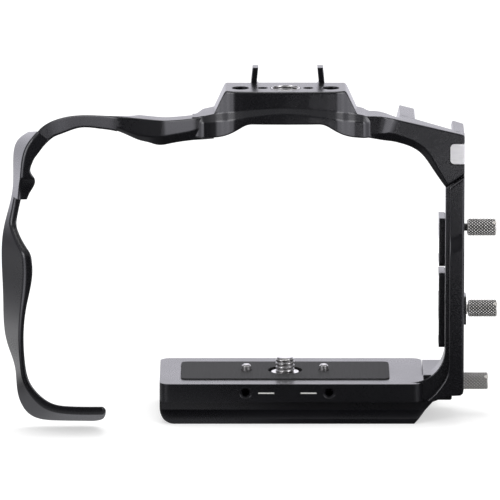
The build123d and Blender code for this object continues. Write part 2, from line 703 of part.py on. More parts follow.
with BuildPart() as corner_badge:
    # plain bent plate, seated in its recess
    with BuildSketch(front_plane(BADGE_PROUD)):
        with Locations((COLUMN_OUT_X, badge_z)):
            Rectangle(BADGE_W, BADGE_H, align=(Align.MAX, Align.CENTER))
    extrude(amount=-BADGE_T)
    with BuildSketch(front_plane(BADGE_PROUD)):
        with Locations((COLUMN_OUT_X, badge_z)):
            Rectangle(BADGE_T - BADGE_FIT, BADGE_H, align=(Align.MAX, Align.CENTER))
    extrude(amount=-BADGE_SIDE)
    fillet(corner_badge.edges().filter_by(Axis.Y).group_by(Axis.X)[0], radius=BADGE_CORNER_R)
save(corner_badge.part, "corner_badge")

# ================================================================ column and side block
column_front = -COLUMN_SETBACK
column_foot_z = PLATE_H + COLUMN_BOTTOM
block_top = PLATE_H + BLOCK_H

with BuildPart() as side_column:
    with BuildSketch(front_plane(column_front)):
        with BuildLine():
            column_line = Polyline(
                (column_in_x - COLUMN_CORNER_R, base_top),
                (bar_right_x, base_top),
                (bar_right_x, PLATE_H),
                (plate_right_x, PLATE_H),
                (plate_right_x + COLUMN_FOOT_RUN, column_foot_z),
                (COLUMN_OUT_X - COLUMN_EDGE, column_foot_z),
                (COLUMN_OUT_X, column_foot_z + COLUMN_EDGE),
                (COLUMN_OUT_X, notch_out_z),
                (column_in_x, notch_in_z),
                (column_in_x, base_top + COLUMN_CORNER_R),
            )
            RadiusArc(column_line @ 1, column_line @ 0, COLUMN_CORNER_R)
        make_face()
    extrude(amount=-COLUMN_DEPTH)
    # the corner web and the column's inner edge lie back behind the outer band
    band_in_x = COLUMN_OUT_X - COLUMN_BAND_W
    with BuildSketch(front_plane(column_front)):
        with BuildLine():
            Polyline(
                (bar_right_x, PLATE_H),
                (plate_right_x, PLATE_H + WEB_RECESS),
                (band_in_x, base_top + WEB_RECESS),
                (band_in_x, notch_out_z),
                (bar_right_x, notch_out_z),
                close=True,
            )
        make_face()
    extrude(amount=-WEB_RECESS, mode=Mode.SUBTRACT)
    # the upper half of the front lies back, with a slope down to the lower half
    column_front_y = front_y + COLUMN_SETBACK
    with BuildSketch(side_plane(column_in_x - OVERCUT)):
        with BuildLine():
            Polyline(
                (column_front_y, FACE_STEP_LOW),
                (column_front_y + FACE_STEP, FACE_STEP_HIGH),
                (column_front_y + FACE_STEP, notch_out_z + OVERCUT),
                (column_front_y, notch_out_z + OVERCUT),
                close=True,
            )
        make_face()
    extrude(amount=COLUMN_T + 2 * OVERCUT, mode=Mode.SUBTRACT)
    # block behind the corner, which carries the cable clamp
    with BuildSketch(front_plane(column_front)):
        with BuildLine():
            Polyline(
                (bar_right_x, PLATE_H),
                (block_out_x, PLATE_H),
                (block_out_x, block_top),
                (bar_right_x, block_top),
                close=True,
            )
        make_face()
    extrude(amount=-BLOCK_DEPTH)
    # thread of the fixing screw, with a counterbore for its clip
    with BuildSketch(side_plane(block_out_x)):
        with Locations((clamp_y, FIXING_Z)):
            Circle(SCREW_R + RUN_GAP)
    extrude(amount=-FIXING_BORE, mode=Mode.SUBTRACT)
    with BuildSketch(side_plane(block_out_x)):
        with Locations((clamp_y, FIXING_Z)):
            Circle(CLIP_R + CLIP_GAP)
    extrude(amount=-(CLIP_T + 3 * SEAT_GAP), mode=Mode.SUBTRACT)
save(side_column.part, "side_column")

# ================================================================ cable clamp bracket
upper_slot_z = UPPER_Z - UPPER_SLOT_DROP
lower_slot_z = LOWER_Z + LOWER_SLOT_RISE
usb_slot_z = LOWER_Z - LOWER_SLOT_RISE
upper_pin_z = UPPER_Z - UPPER_JAW_LOW + GUIDE_PIN_RISE
lower_pin_z = LOWER_Z - LOWER_JAW_LOW + GUIDE_PIN_RISE
pin_y = bracket_front_y + GUIDE_PIN_SETBACK


# the room of the cable plugs: three slots, open towards the rear
with BuildPart() as plug_slots:
    with BuildSketch(side_plane(jaw_in_x - OVERCUT)):
        with Locations(*[(bracket_back_y + OVERCUT, z) for z in (upper_slot_z, lower_slot_z, usb_slot_z)]):
            Rectangle(PLUG_SLOT_DEPTH + OVERCUT, PLUG_SLOT_H, align=(Align.MAX, Align.CENTER))
    extrude(amount=2 * (bracket_out_x - jaw_in_x))


with BuildPart() as clamp_bracket:
    with BuildSketch(side_plane(bracket_in_x)):
        with BuildLine():
            Polyline(
                (bracket_front_y, PLATE_H + BRACKET_BOTTOM),
                (bracket_back_y, PLATE_H + BRACKET_BOTTOM),
                (bracket_back_y, BRACKET_TOP),
                (bracket_front_y, BRACKET_TOP),
                close=True,
            )
        make_face()
    extrude(amount=BRACKET_T)
    fillet(clamp_bracket.edges().filter_by(Axis.X), radius=BRACKET_CORNER_R)
    # the foot is thinner, so that the fixing screw's head sits deeper
    with BuildSketch(side_plane(bracket_in_x + TAB_T)):
        with Locations((bracket_front_y - OVERCUT, PLATE_H)):
            Rectangle(BRACKET_W + 2 * OVERCUT, TAB_H, align=(Align.MIN, Align.MIN))
    extrude(amount=BRACKET_T, mode=Mode.SUBTRACT)
    # raised seat of the lower screw
    with BuildSketch(side_plane(bracket_out_x)):
        with Locations((clamp_y, LOWER_Z)):
            RectangleRounded(BOSS_H, BOSS_H, BOSS_CORNER_R)
    extrude(amount=BOSS_T)
    # bores of the three screws and of the guide pins
    with BuildSketch(side_plane(bracket_in_x - OVERCUT)):
        with Locations((clamp_y, UPPER_Z), (clamp_y, LOWER_Z), (clamp_y, FIXING_Z)):
            Circle(SCREW_R + RUN_GAP)
        with Locations((pin_y, upper_pin_z), (pin_y, lower_pin_z)):
            Circle(GUIDE_PIN_R + RUN_GAP)
    extrude(amount=BRACKET_T + BOSS_T + 2 * OVERCUT, mode=Mode.SUBTRACT)
    add(plug_slots.part, mode=Mode.SUBTRACT)
save(clamp_bracket.part, "clamp_bracket")


def jaw_outline(screw_z, low, high, inset):
    """Side outline of a jaw or its pad, this much smaller all round."""
    width = BRACKET_W - 2 * inset
    height = low + high - 2 * inset
    with Locations((bracket_front_y + BRACKET_W / 2, screw_z + (high - low) / 2)):
        RectangleRounded(width, height, JAW_CORNER_R)


def build_jaw(screw_z, low, high, pin_z, name):
    """Jaw plate with its screw bore, plug slot and guide pin."""
    with BuildPart() as jaw:
        with BuildSketch(side_plane(jaw_in_x)):
            jaw_outline(screw_z, low, high, JAW_INSET)
            with Locations((clamp_y, screw_z)):
                Circle(SCREW_R + RUN_GAP, mode=Mode.SUBTRACT)
        extrude(amount=JAW_T)
        with BuildSketch(side_plane(jaw_out_x)):
            with Locations((pin_y, pin_z)):
                Circle(GUIDE_PIN_R)
        extrude(amount=JAW_GAP + JAW_PAD_T + GUIDE_PIN_ENTRY)
        add(plug_slots.part, mode=Mode.SUBTRACT)
    save(jaw.part, name)


def build_jaw_pad(screw_z, low, high, pin_z, name):
    """Rubber pad on the outer face of a jaw, clear of the screw's clip."""
    with BuildPart() as pad:
        with BuildSketch(side_plane(jaw_out_x)):
            jaw_outline(screw_z, low, high, JAW_INSET + JAW_PAD_INSET)
            with Locations((clamp_y, screw_z)):
                Circle(CLIP_R + CLIP_GAP, mode=Mode.SUBTRACT)
            with Locations((pin_y, pin_z)):
                Circle(GUIDE_PIN_R + GUIDE_PIN_GAP, mode=Mode.SUBTRACT)
        extrude(amount=JAW_PAD_T)
        add(plug_slots.part, mode=Mode.SUBTRACT)
    save(pad.part, name)


build_jaw(UPPER_Z, UPPER_JAW_LOW, UPPER_JAW_HIGH, upper_pin_z, "upper_jaw")
build_jaw(LOWER_Z, LOWER_JAW_LOW, LOWER_JAW_HIGH, lower_pin_z, "lower_jaw")
build_jaw_pad(UPPER_Z, UPPER_JAW_LOW, UPPER_JAW_HIGH, upper_pin_z, "upper_jaw_pad")
build_jaw_pad(LOWER_Z, LOWER_JAW_LOW, LOWER_JAW_HIGH, lower_pin_z, "lower_jaw_pad")


# ================================================================ thumbscrews and clips
def build_thumbscrew(screw_z, seat_x, head_x, tip_x, name):
    """Slotted thumbscrew along X, with a collar on its seat and a groove for its clip."""
    clip_x = bracket_in_x - SEAT_GAP
    with BuildPart() as screw:
        with BuildSketch(Plane.XZ.offset(-clamp_y)):
            with BuildLine():
                Polyline(
                    (tip_x, screw_z),
                    (tip_x, screw_z + SCREW_R - TIP_CHAMFER),
                    (tip_x + TIP_CHAMFER, screw_z + SCREW_R),
                    (clip_x - CLIP_T, screw_z + SCREW_R),
                    (clip_x - CLIP_T, screw_z + SCREW_R - SCREW_GROOVE),
                    (clip_x, screw_z + SCREW_R - SCREW_GROOVE),
                    (clip_x, screw_z + SCREW_R),
                    (seat_x + SEAT_GAP, screw_z + SCREW_R),
                    (seat_x + SEAT_GAP, screw_z + COLLAR_R),
                    (seat_x + SEAT_GAP + COLLAR_T, screw_z + COLLAR_R),
                    (seat_x + SEAT_GAP + COLLAR_T, screw_z + SCREW_R),
                    (head_x, screw_z + SCREW_R),
                    (head_x, screw_z + HEAD_R - HEAD_CHAMFER),
                    (head_x + HEAD_CHAMFER, screw_z + HEAD_R),
                    (head_x + HEAD_L - HEAD_CHAMFER, screw_z + HEAD_R),
                    (head_x + HEAD_L, screw_z + HEAD_R - HEAD_CHAMFER),
                    (head_x + HEAD_L, screw_z),
                    close=True,
                )
            make_face()
        revolve(axis=Axis((0, clamp_y, screw_z), (1, 0, 0)))
        with BuildSketch(side_plane(head_x + HEAD_L)):
            with Locations((clamp_y, screw_z)):
                Rectangle(2 * HEAD_R, SLOT_W, rotation=SLOT_TURN)
        extrude(amount=-SLOT_DEPTH, mode=Mode.SUBTRACT)
    save(screw.part, name)


def build_clip(screw_z, name):
    """Retaining ring in the groove of a thumbscrew."""
    with BuildPart() as clip:
        with BuildSketch(side_plane(bracket_in_x - SEAT_GAP)):
            with Locations((clamp_y, screw_z)):
                Circle(CLIP_R)
                Circle(SCREW_R - SCREW_GROOVE + RUN_GAP, mode=Mode.SUBTRACT)
        extrude(amount=-(CLIP_T - SEAT_GAP))
    save(clip.part, name)


lower_head_x = bracket_out_x + BOSS_T + SEAT_GAP + COLLAR_T + NECK_L
upper_head_x = lower_head_x - HEAD_STAGGER
fixing_head_x = bracket_in_x + TAB_T + SEAT_GAP + COLLAR_T + NECK_L
build_thumbscrew(UPPER_Z, bracket_out_x, upper_head_x, jaw_in_x + TIP_IN, "upper_thumbscrew")
build_thumbscrew(LOWER_Z, bracket_out_x + BOSS_T, lower_head_x, jaw_in_x + TIP_IN, "lower_thumbscrew")
build_thumbscrew(
    FIXING_Z, bracket_in_x + TAB_T, fixing_head_x, block_out_x - FIXING_REACH, "fixing_thumbscrew"
)
build_clip(UPPER_Z, "upper_screw_clip")
build_clip(LOWER_Z, "lower_screw_clip")
build_clip(FIXING_Z, "fixing_screw_clip")

# ================================================================ grip guard
# The wall is drawn twice, at its front rim and at its rear edge, and joined by ruled faces.


def guard_line(start, upper, lower, foot_z):
    """Outline of the guard: (in from its widest point, below the bridge top or above the ground)."""
    return (
        start
        + [(GUARD_OUT_X + x, bridge_top - drop) for x, drop in upper]
        + [(GUARD_OUT_X + x, z) for x, z in lower]
        + [(FOOT_END_X, foot_z)]
    )


rim_outer = guard_line(
    [(GUARD_JOIN_X, bridge_top - GUARD_JOIN_DROP)],
    [(9.4, 14.7), (7.4, 21.4), (6.8, 32.0), (7.0, 46.0)],
    [(8.0, 55.8), (7.1, 45.0), (6.2, 32.6), (6.6, 24.0), (8.8, 16.0), (13.9, 10.1), (22.0, 7.6)],
    7.4,
)
rim_inner = guard_line(
    [(GUARD_JOIN_X + GUARD_JOIN_W, bridge_top - GUARD_JOIN_DROP - GUARD_JOIN_LEAN)],
    [
        (13.1, 18.3),
        (11.0, 21.8),
        (10.6, 24.2),
        (12.2, 26.8),
        (12.6, 28.6),
        (11.2, 31.7),
        (9.8, 35.5),
        (9.6, 46.0),
    ],
    [(11.2, 56.0), (9.3, 45.0), (8.0, 32.6), (8.4, 24.5), (10.8, 17.0), (15.7, 12.2), (22.0, 10.4)],
    10.2,
)
rear_outer = guard_line(
    [],
    [(9.2, 13.7), (5.4, 16.8), (4.1, 24.0), (3.8, 33.6), (0.6, 47.0)],
    [(0.0, 55.0), (0.4, 44.0), (1.6, 29.0), (4.4, 20.0), (5.5, 10.0), (9.5, 3.6), (19.0, 1.7)],
    1.5,
)
rear_inner = guard_line(
    [],
    [(11.5, 15.7), (7.8, 18.4), (6.4, 24.5), (6.1, 33.6), (3.0, 47.4)],
    [(2.3, 55.0), (2.7, 44.0), (3.9, 29.4), (6.7, 20.4), (7.8, 10.9), (11.1, 5.9), (19.4, 4.1)],
    3.9,
)


def wall_section(outer, inner):
    """Closed section of the wall between its outer and inner line."""
    with BuildLine() as section:
        outer_line = Spline(*outer)
        inner_line = Spline(*inner)
        Line(outer_line @ 0, inner_line @ 0)
        Line(outer_line @ 1, inner_line @ 1)
    make_face(section.edges())


with BuildPart() as grip_guard:
    with BuildSketch(front_plane(GUARD_FRONT)):
        wall_section(rim_outer, rim_inner)
    with BuildSketch(front_plane(GUARD_FRONT - GUARD_DEPTH)):
        wall_section(rear_outer, rear_inner)
    loft(ruled=True)
    # the foot's end is rounded in plan: a small corner in front, a long one behind
    rim_y = front_y - GUARD_FRONT
    rear_y = rim_y + GUARD_DEPTH
    with BuildSketch():
        with BuildLine():
            Polyline(
                (FOOT_END_X - FOOT_END_R, rim_y),
                (GUARD_OUT_X - OVERCUT, rim_y),
                (GUARD_OUT_X - OVERCUT, rear_y),
                (FOOT_END_X - FOOT_END_TAPER, rear_y),
            )
            Spline(
                (FOOT_END_X - FOOT_END_TAPER, rear_y),
                (FOOT_END_X, rim_y + FOOT_END_R),
                tangents=[(1, 0), (0, -1)],
            )
            Spline(
                (FOOT_END_X, rim_y + FOOT_END_R),
                (FOOT_END_X - FOOT_END_R, rim_y),
                tangents=[(0, -1), (-1, 0)],
            )
        make_face()
    extrude(amount=bridge_top, mode=Mode.INTERSECT)
    # finger notch in the front edge: flat at the top, running out forwards below
    notch_floor = FINGER_NOTCH_TOP - FINGER_NOTCH_FLAT
    with BuildSketch(side_plane(GUARD_OUT_X - OVERCUT)):
        with BuildLine():
            Polyline(
                (rim_y - OVERCUT, FINGER_NOTCH_TOP),
                (rim_y + FINGER_NOTCH_DEPTH, FINGER_NOTCH_TOP),
                (rim_y + FINGER_NOTCH_DEPTH, notch_floor),
                (rim_y, FINGER_NOTCH_TOP - FINGER_NOTCH_H),
                (rim_y - OVERCUT, FINGER_NOTCH_TOP - FINGER_NOTCH_H),
                close=True,
            )
        make_face()
    extrude(amount=FOOT_END_X - GUARD_OUT_X, mode=Mode.SUBTRACT)
save(grip_guard.part, "grip_guard")

# ================================================================ arch over the grip
arch_right_x = bridge_left_x
arch_run = math.hypot(arch_right_x - GUARD_JOIN_X, GUARD_FRONT)
arch_cos = (arch_right_x - GUARD_JOIN_X) / arch_run
arch_sin = GUARD_FRONT / arch_run
arch_plane = Plane(
    origin=(arch_right_x, front_y, 0),
    x_dir=(arch_cos, arch_sin, 0),
    z_dir=(arch_sin, -arch_cos, 0),
)

arch_top_points = [
    (-12.0, 9.2),
    (-25.0, 9.6),
    (-38.5, 8.0),
    (-48.0, 6.6),
    (-55.7, 5.9),
    (-63.3, 6.6),
    (-67.0, 8.0),
    (-70.2, 10.6),
    (-71.9, 13.0),
]
arch_under_points = [
    (-12.0, 16.8),
    (-19.3, 17.15),
    (-26.7, 17.5),
    (-31.3, 17.55),
    (-36.7, 16.0),
    (-41.0, 14.2),
    (-48.0, 11.65),
    (-55.7, 10.65),
    (-62.3, 12.1),
    (-66.0, 13.9),
    (-69.5, 17.3),
]


def on_arch(points):
    """Turn (x, drop below the bridge top) into points on the slanted plane of the arch."""
    return [((x - arch_right_x) / arch_cos, bridge_top - drop) for x, drop in points]


with BuildPart() as grip_arch:
    with BuildSketch(arch_plane):
        with BuildLine():
            arch_top_line = Spline(*on_arch(arch_top_points))
            arch_under_line = Spline(*on_arch(arch_under_points))
            Line(arch_top_line @ 0, arch_under_line @ 0)
            Line(arch_top_line @ 1, arch_under_line @ 1)
        make_face()
    extrude(amount=-ARCH_DEPTH)
    add(bridge.part, mode=Mode.SUBTRACT)
    add(grip_guard.part, mode=Mode.SUBTRACT)
    # its front end is flush with the guard's rim
    with BuildSketch(front_plane(GUARD_FRONT)):
        with Locations((arch_right_x, base_top)):
            Rectangle(arch_right_x - GUARD_OUT_X, bridge_top, align=(Align.MAX, Align.MIN))
    extrude(amount=ARCH_DEPTH, mode=Mode.SUBTRACT)
save(grip_arch.part.solids().sort_by(SortBy.VOLUME)[-1], "grip_arch")
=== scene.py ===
"""Dressed model of a black aluminium camera cage with a grip guard and a two-jaw cable clamp.

The sections follow the cage as it is put together, from the base upwards. The pieces' sizes are in
millimetres, and those of the surfaces' grain, the table and the lamps in metres.
"""

import math

import bpy
import mathutils
import numpy as np
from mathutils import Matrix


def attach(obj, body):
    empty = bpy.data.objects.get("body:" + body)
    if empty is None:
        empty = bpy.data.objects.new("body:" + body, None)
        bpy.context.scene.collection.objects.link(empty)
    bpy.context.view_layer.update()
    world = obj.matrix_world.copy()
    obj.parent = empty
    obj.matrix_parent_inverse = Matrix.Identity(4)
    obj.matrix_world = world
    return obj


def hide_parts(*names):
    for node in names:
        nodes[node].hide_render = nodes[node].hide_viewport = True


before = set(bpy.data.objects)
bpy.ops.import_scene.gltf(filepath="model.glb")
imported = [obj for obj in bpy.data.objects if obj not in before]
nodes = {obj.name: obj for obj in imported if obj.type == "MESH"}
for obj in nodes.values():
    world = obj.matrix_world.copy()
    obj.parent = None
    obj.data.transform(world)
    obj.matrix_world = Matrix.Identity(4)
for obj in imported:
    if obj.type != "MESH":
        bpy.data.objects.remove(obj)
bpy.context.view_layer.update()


# ---------------------------------------------------------------- base bar
# The bar that the camera stands on, milled from aluminium, bead-blasted and anodised black.
# Two M3 holes and two engraved dashes are cut in its front. Four screws hold the plate below it.
class Link:
    """An output of a shader node. Each sum or product with it adds one Math node."""

    def __init__(self, tree, output):
        self.tree = tree
        self.output = output

    def math(self, operation, first, second):
        return self.tree.add("ShaderNodeMath", {"operation": operation}, {0: first, 1: second})

    def __add__(self, other):
        return self.math("ADD", self, other)

    def __radd__(self, other):
        return self.math("ADD", other, self)

    def __mul__(self, other):
        return self.math("MULTIPLY", self, other)

    def __rmul__(self, other):
        return self.math("MULTIPLY", other, self)


class Finish:
    """A node tree that is filled node by node."""

    def __init__(self, owner):
        self.owner = owner
        owner.use_nodes = True
        self.nodes = owner.node_tree.nodes
        self.links = owner.node_tree.links
        self.nodes.clear()

    def add(self, kind, settings=None, values=None, out=0):
        """Add a node of this kind: its settings or a ramp's stops, then the value or link of each socket."""
        made = self.nodes.new(kind)
        for key, value in (settings or {}).items():
            if key == "stops":
                self.ease_between(made.color_ramp, value)
            else:
                setattr(made, key, value)
        for key, value in (values or {}).items():
            if isinstance(value, Link):
                self.links.new(value.output, made.inputs[key])
            else:
                made.inputs[key].default_value = value
        return Link(self, made.outputs[out]) if len(made.outputs) else made

    def cover(self, values):
        """End the material with a Principled surface of these values."""
        surface = self.add("ShaderNodeBsdfPrincipled", None, values)
        self.add("ShaderNodeOutputMaterial", None, {"Surface": surface})
        return self.owner

    def ease_between(self, ramp, stops):
        """Give a ramp these places and colours, eased from one to the next. Its two ends stand already."""
        ramp.interpolation = "EASE"
        for place, _ in stops[1:-1]:
            ramp.elements.new(place)
        for element, (_, colour) in zip(ramp.elements, stops):
            element.color = colour

    def blend(self, factor, first, second):
        """Colour between the first and the second."""
        return self.add("ShaderNodeMix", {"data_type": "RGBA"}, {0: factor, 6: first, 7: second}, out=2)

    def noise(self, place, scale, detail=2.0):
        """Soft random cells, this many to a metre."""
        return self.add("ShaderNodeTexNoise", None, {"Vector": place, "Scale": scale, "Detail": detail})


def new_finish(name):
    """A material to fill, and the place on the object that its patterns read."""
    tree = Finish(bpy.data.materials.new(name))
    return tree, tree.add("ShaderNodeTexCoord", out="Object")


BLAST_GRAINS = 3200.0
BLAST_CLOUDS = 55.0
BLAST_UNEVEN = 0.10
BROKEN_EDGE = 0.00025
SEALED_INDEX = 1.58


def blasted(name, dark, light, roughness, grain_height=0.000012):
    """Satin surface with the fine grain of bead blasting and softly broken edges."""
    tree, place = new_finish(name)
    grain = tree.noise(place, BLAST_GRAINS, 3.0)
    cloud = tree.noise(place, BLAST_CLOUDS, 3.0)
    colour = tree.blend(cloud * 0.6 + grain * 0.4, (*dark, 1), (*light, 1))
    edge = tree.add("ShaderNodeBevel", {"samples": 4}, {"Radius": BROKEN_EDGE})
    relief = {"Strength": 0.6, "Distance": grain_height, "Height": grain, "Normal": edge}
    bump = tree.add("ShaderNodeBump", None, relief)
    shine = cloud * BLAST_UNEVEN + grain * BLAST_UNEVEN + (roughness - BLAST_UNEVEN)
    return tree.cover({"Base Color": colour, "Roughness": shine, "Normal": bump, "IOR": SEALED_INDEX})


black_anodised = blasted("black_anodised", (0.0025, 0.0025, 0.0034), (0.006, 0.006, 0.0078), 0.28)


def finish_nodes(material, *names):
    """Give these nodes of the frame this material in all their slots."""
    for name in names:
        mesh = nodes[name].data
        for index in range(len(mesh.materials)):
            mesh.materials[index] = material


finish_nodes(black_anodised, "base_bar")

# ---------------------------------------------------------------- dovetail plate
# The lower plate, milled and anodised as the bar is, with an undercut dovetail on both long sides.
# It takes the cage into a quick-release clamp and is held by four countersunk black steel screws.
finish_nodes(black_anodised, "dovetail_plate")
black_steel = blasted("black_steel", (0.012, 0.012, 0.012), (0.030, 0.030, 0.030), 0.34, 0.000004)
finish_nodes(black_steel, "plate_screws")


# ---------------------------------------------------------------- rubber pad
# A moulded rubber pad glued into a shallow pocket of the bar, so that the camera doesn't turn.
# Its face has fine ribs across the length.
PAD_RIBS = 500.0
RUBBER_SPECKS = 2600.0
WAVE_BANDS = 3.183


def rubber(name, ribs=0.0):
    """Matt rubber, with ribs this many to a metre. A Wave node of scale 1 has 3.183 bands to a metre."""
    tree, place = new_finish(name)
    speckle = tree.noise(place, RUBBER_SPECKS, 3.0)
    height = speckle
    if ribs:
        across = {"Vector": place, "Scale": ribs / WAVE_BANDS}
        wave = tree.add("ShaderNodeTexWave", {"bands_direction": "X"}, across)
        height = wave * 0.8 + speckle * 0.2
    bump = tree.add("ShaderNodeBump", None, {"Strength": 0.8, "Distance": 0.00012, "Height": height})
    colour = tree.blend(speckle, (0.012, 0.012, 0.012, 1), (0.028, 0.028, 0.028, 1))
    return tree.cover({"Base Color": colour, "Roughness": speckle * 0.2 + 0.68, "Normal": bump})


finish_nodes(rubber("ribbed_rubber", PAD_RIBS), "base_pad")


# ---------------------------------------------------------------- locating pins and camera screw
# Two turned steel pins keep the camera square, and a slotted 1/4 inch screw with 20 threads to the
# inch holds it. The screw turns in the bar and is kept from falling out by a thin spring clip.
STEEL_CLOUDS = 300.0
STEEL_EDGE = 0.00012
GROOVE_SHADE = 0.05


def turned_steel(name, colour, roughness, lines=9000.0, metal=1.0):
    """Bright steel with the faint streaks that a lathe leaves, duller where the cut mark lies and darkened
    there by painted shade.
    """
    tree, place = new_finish(name)
    streak = tree.noise(place, lines)
    cloud = tree.noise(place, STEEL_CLOUDS)
    cut = tree.add("ShaderNodeAttribute", {"attribute_name": "cut"}, out="Fac")
    tone = tree.blend(cloud, (*[c * 0.88 for c in colour], 1), (*colour, 1))
    # painted shade: where the cut mark lies, the colour falls to GROOVE_SHADE of the steel's own
    tone = tree.blend(cut, tone, (*[c * GROOVE_SHADE for c in colour], 1))
    edge = tree.add("ShaderNodeBevel", {"samples": 4}, {"Radius": STEEL_EDGE})
    relief = {"Strength": 0.3, "Distance": 0.000004, "Height": streak, "Normal": edge}
    bump = tree.add("ShaderNodeBump", None, relief)
    shine = streak * 0.12 + cut * 0.25 + roughness
    return tree.cover({"Base Color": tone, "Roughness": shine, "Metallic": metal, "Normal": bump})


bright_steel = turned_steel("bright_steel", (0.62, 0.61, 0.60), 0.22)
finish_nodes(bright_steel, "locating_pins", "camera_screw_clip")


def put_in(name, data):
    """An object with this mesh, lamp or camera, put into the scene."""
    made = bpy.data.objects.new(name, data)
    bpy.context.scene.collection.objects.link(made)
    return made


def divide(points, step):
    """Open line with new points on its longer sides, none further apart than the step."""
    points = np.asarray(points, float)
    length = np.linalg.norm(np.diff(points, axis=0), axis=1)
    counts = np.maximum(1, np.ceil(length / step).astype(int))
    side = np.repeat(np.arange(len(counts)), counts)
    first = np.repeat(np.cumsum(counts) - counts, counts)
    share = ((np.arange(counts.sum()) - first) / np.repeat(counts, counts))[:, None]
    return np.vstack([points[side] * (1 - share) + points[side + 1] * share, points[-1:]])


def triangle(value):
    """Zigzag that is 0 at whole numbers and 1 half way between them."""
    return 1 - np.abs(2 * (value - np.floor(value)) - 1)


def flatten(piece):
    """Shade the broad faces flat, and leave the turn of the light to the narrow rounded edges."""
    step = piece.modifiers.new("flat_faces", "WEIGHTED_NORMAL")
    step.keep_sharp = True
    step.weight = 60


def skin(name, rings, material, body, replaced=(), cut=None, sharp=38.0, joined=False):
    """Closed surface through rings of points: ring k to ring k + 1, with flat ends or joined end to end.

    The faces are turned outwards by the sign of the volume, the sum of p0 . (p1 x p2) / 6.
    """
    rings = np.asarray(rings, float)
    count, around = rings.shape[:2]
    points = rings.reshape(-1, 3)
    row = np.arange(count if joined else count - 1)[:, None]
    column = np.arange(around)[None, :]
    after = (column + 1) % around
    below = (row + 1) % count
    here, under = row * around, below * around
    quads = np.stack([here + column, here + after, under + after, under + column], -1).reshape(-1, 4)
    ends = [] if joined else [np.arange(around)[::-1], (count - 1) * around + np.arange(around)]
    a, b, c, d = (points[quads[:, i]] for i in range(4))
    volume = np.sum(a * np.cross(b, c)) + np.sum(a * np.cross(c, d))
    for end in ends:
        e = points[end]
        volume += np.sum(e[0] * np.cross(e[1:-1], e[2:]))
    if volume < 0:
        quads = quads[:, ::-1]
        ends = [end[::-1] for end in ends]
    mesh = bpy.data.meshes.new(name)
    loops = np.concatenate([quads.ravel(), *ends]).astype(np.int32)
    sizes = np.concatenate([np.full(len(quads), 4), [len(end) for end in ends]]).astype(np.int32)
    starts = np.concatenate([[0], np.cumsum(sizes)[:-1]]).astype(np.int32)
    mesh.vertices.add(len(points))
    mesh.vertices.foreach_set("co", (points * 0.001).ravel())
    mesh.loops.add(len(loops))
    mesh.loops.foreach_set("vertex_index", loops)
    mesh.polygons.add(len(sizes))
    mesh.polygons.foreach_set("loop_start", starts)
    mesh.polygons.foreach_set("use_smooth", np.ones(len(sizes), bool))
    # the cut mark, read by the steel finishes: duller there, and darkened by painted shade
    if cut is not None:
        mesh.attributes.new("cut", "FLOAT", "POINT").data.foreach_set("value", np.ravel(cut))
    mesh.update(calc_edges=True)
    mesh.validate()
    mesh.set_sharp_from_angle(angle=math.radians(sharp))
    mesh.materials.append(material)
    piece = put_in(name, mesh)
    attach(piece, body)
    if replaced:
        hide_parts(*replaced)
    flatten(piece)
    return piece


def carve(piece, *cutters):
    """Take the cutters' volumes out of the piece, then remove the cutters."""
    piece.modifiers.clear()
    for cutter in cutters:
        cutter.modifiers.clear()
        step = piece.modifiers.new("cut", "BOOLEAN")
        step.operation = "DIFFERENCE"
        step.solver = "EXACT"
        step.object = cutter
    bpy.context.view_layer.update()
    done = bpy.data.meshes.new_from_object(piece.evaluated_get(bpy.context.evaluated_depsgraph_get()))
    piece.modifiers.clear()
    done.materials.clear()
    done.materials.append(piece.data.materials[0])
    done.polygons.foreach_set("material_index", np.zeros(len(done.polygons), np.int32))
    done.set_sharp_from_angle(angle=math.radians(30))
    old = piece.data
    piece.data = done
    done.name = piece.name
    bpy.data.meshes.remove(old)
    for cutter in cutters:
        bpy.data.objects.remove(cutter)
    flatten(piece)
    return piece


def box_rings(low, high):
    """A box between two corners as two square rings."""
    (x0, y0, z0), (x1, y1, z1) = low, high
    return [[(x, y0, z0), (x, y1, z0), (x, y1, z1), (x, y0, z1)] for x in (x0, x1)]


def points_at(x, y, z):
    """Points with these coordinates, each an array or a plain number."""
    return np.stack(np.broadcast_arrays(x, y, z), -1)


LENS_X = 11.8
BASE_MID_Y = 8.5
QUARTER_R = 3.175
QUARTER_PITCH = 1.27
QUARTER_DEEP = 0.55
HEAD_LOW = 4.15
HEAD_TOP = 7.55
HEAD_OUT = 5.5
FLUTES = 30
FLUTE_DEEP = 0.22
NECK_R = 2.6
NECK_LOW = 13.0
NECK_TOP = 13.8
TIP_Z = 18.8
screw_profile = divide(
    [
        (HEAD_LOW, HEAD_OUT - 0.6), (HEAD_LOW + 0.2, HEAD_OUT), (HEAD_TOP - 0.2, HEAD_OUT),
        (HEAD_TOP, HEAD_OUT - 0.2), (HEAD_TOP, QUARTER_R), (NECK_LOW, QUARTER_R), (NECK_LOW, NECK_R),
        (NECK_TOP, NECK_R), (NECK_TOP, QUARTER_R), (TIP_Z - 0.6, QUARTER_R), (TIP_Z, NECK_R),
    ],
    0.11,
)
turn = np.linspace(0, 2 * math.pi, 72, endpoint=False)[None, :]
height = screw_profile[:, :1]
radius = screw_profile[:, 1:]
threaded = (height > HEAD_TOP + 0.15) & (radius > NECK_R + 0.3)
groove = threaded * (1 - triangle(height / QUARTER_PITCH - turn / (2 * math.pi)))
fluted = (height > HEAD_LOW + 0.25) & (height < HEAD_TOP - 0.25)
flute = fluted * (1 - triangle(turn * FLUTES / (2 * math.pi)))
screw_r = radius - QUARTER_DEEP * np.maximum(groove - 0.25, 0) - FLUTE_DEEP * flute
camera_screw = skin(
    "camera_screw_dressed",
    points_at(LENS_X + screw_r * np.cos(turn), BASE_MID_Y + screw_r * np.sin(turn), height),
    bright_steel,
    "tie_down_screw",
    ["camera_screw"],
    # painted shade: the thread and flute grooves are darkened through the cut mark
    cut=0.7 * groove + 0.5 * flute,
)
COIN_HALF = 0.8
COIN_DEEP = 1.5
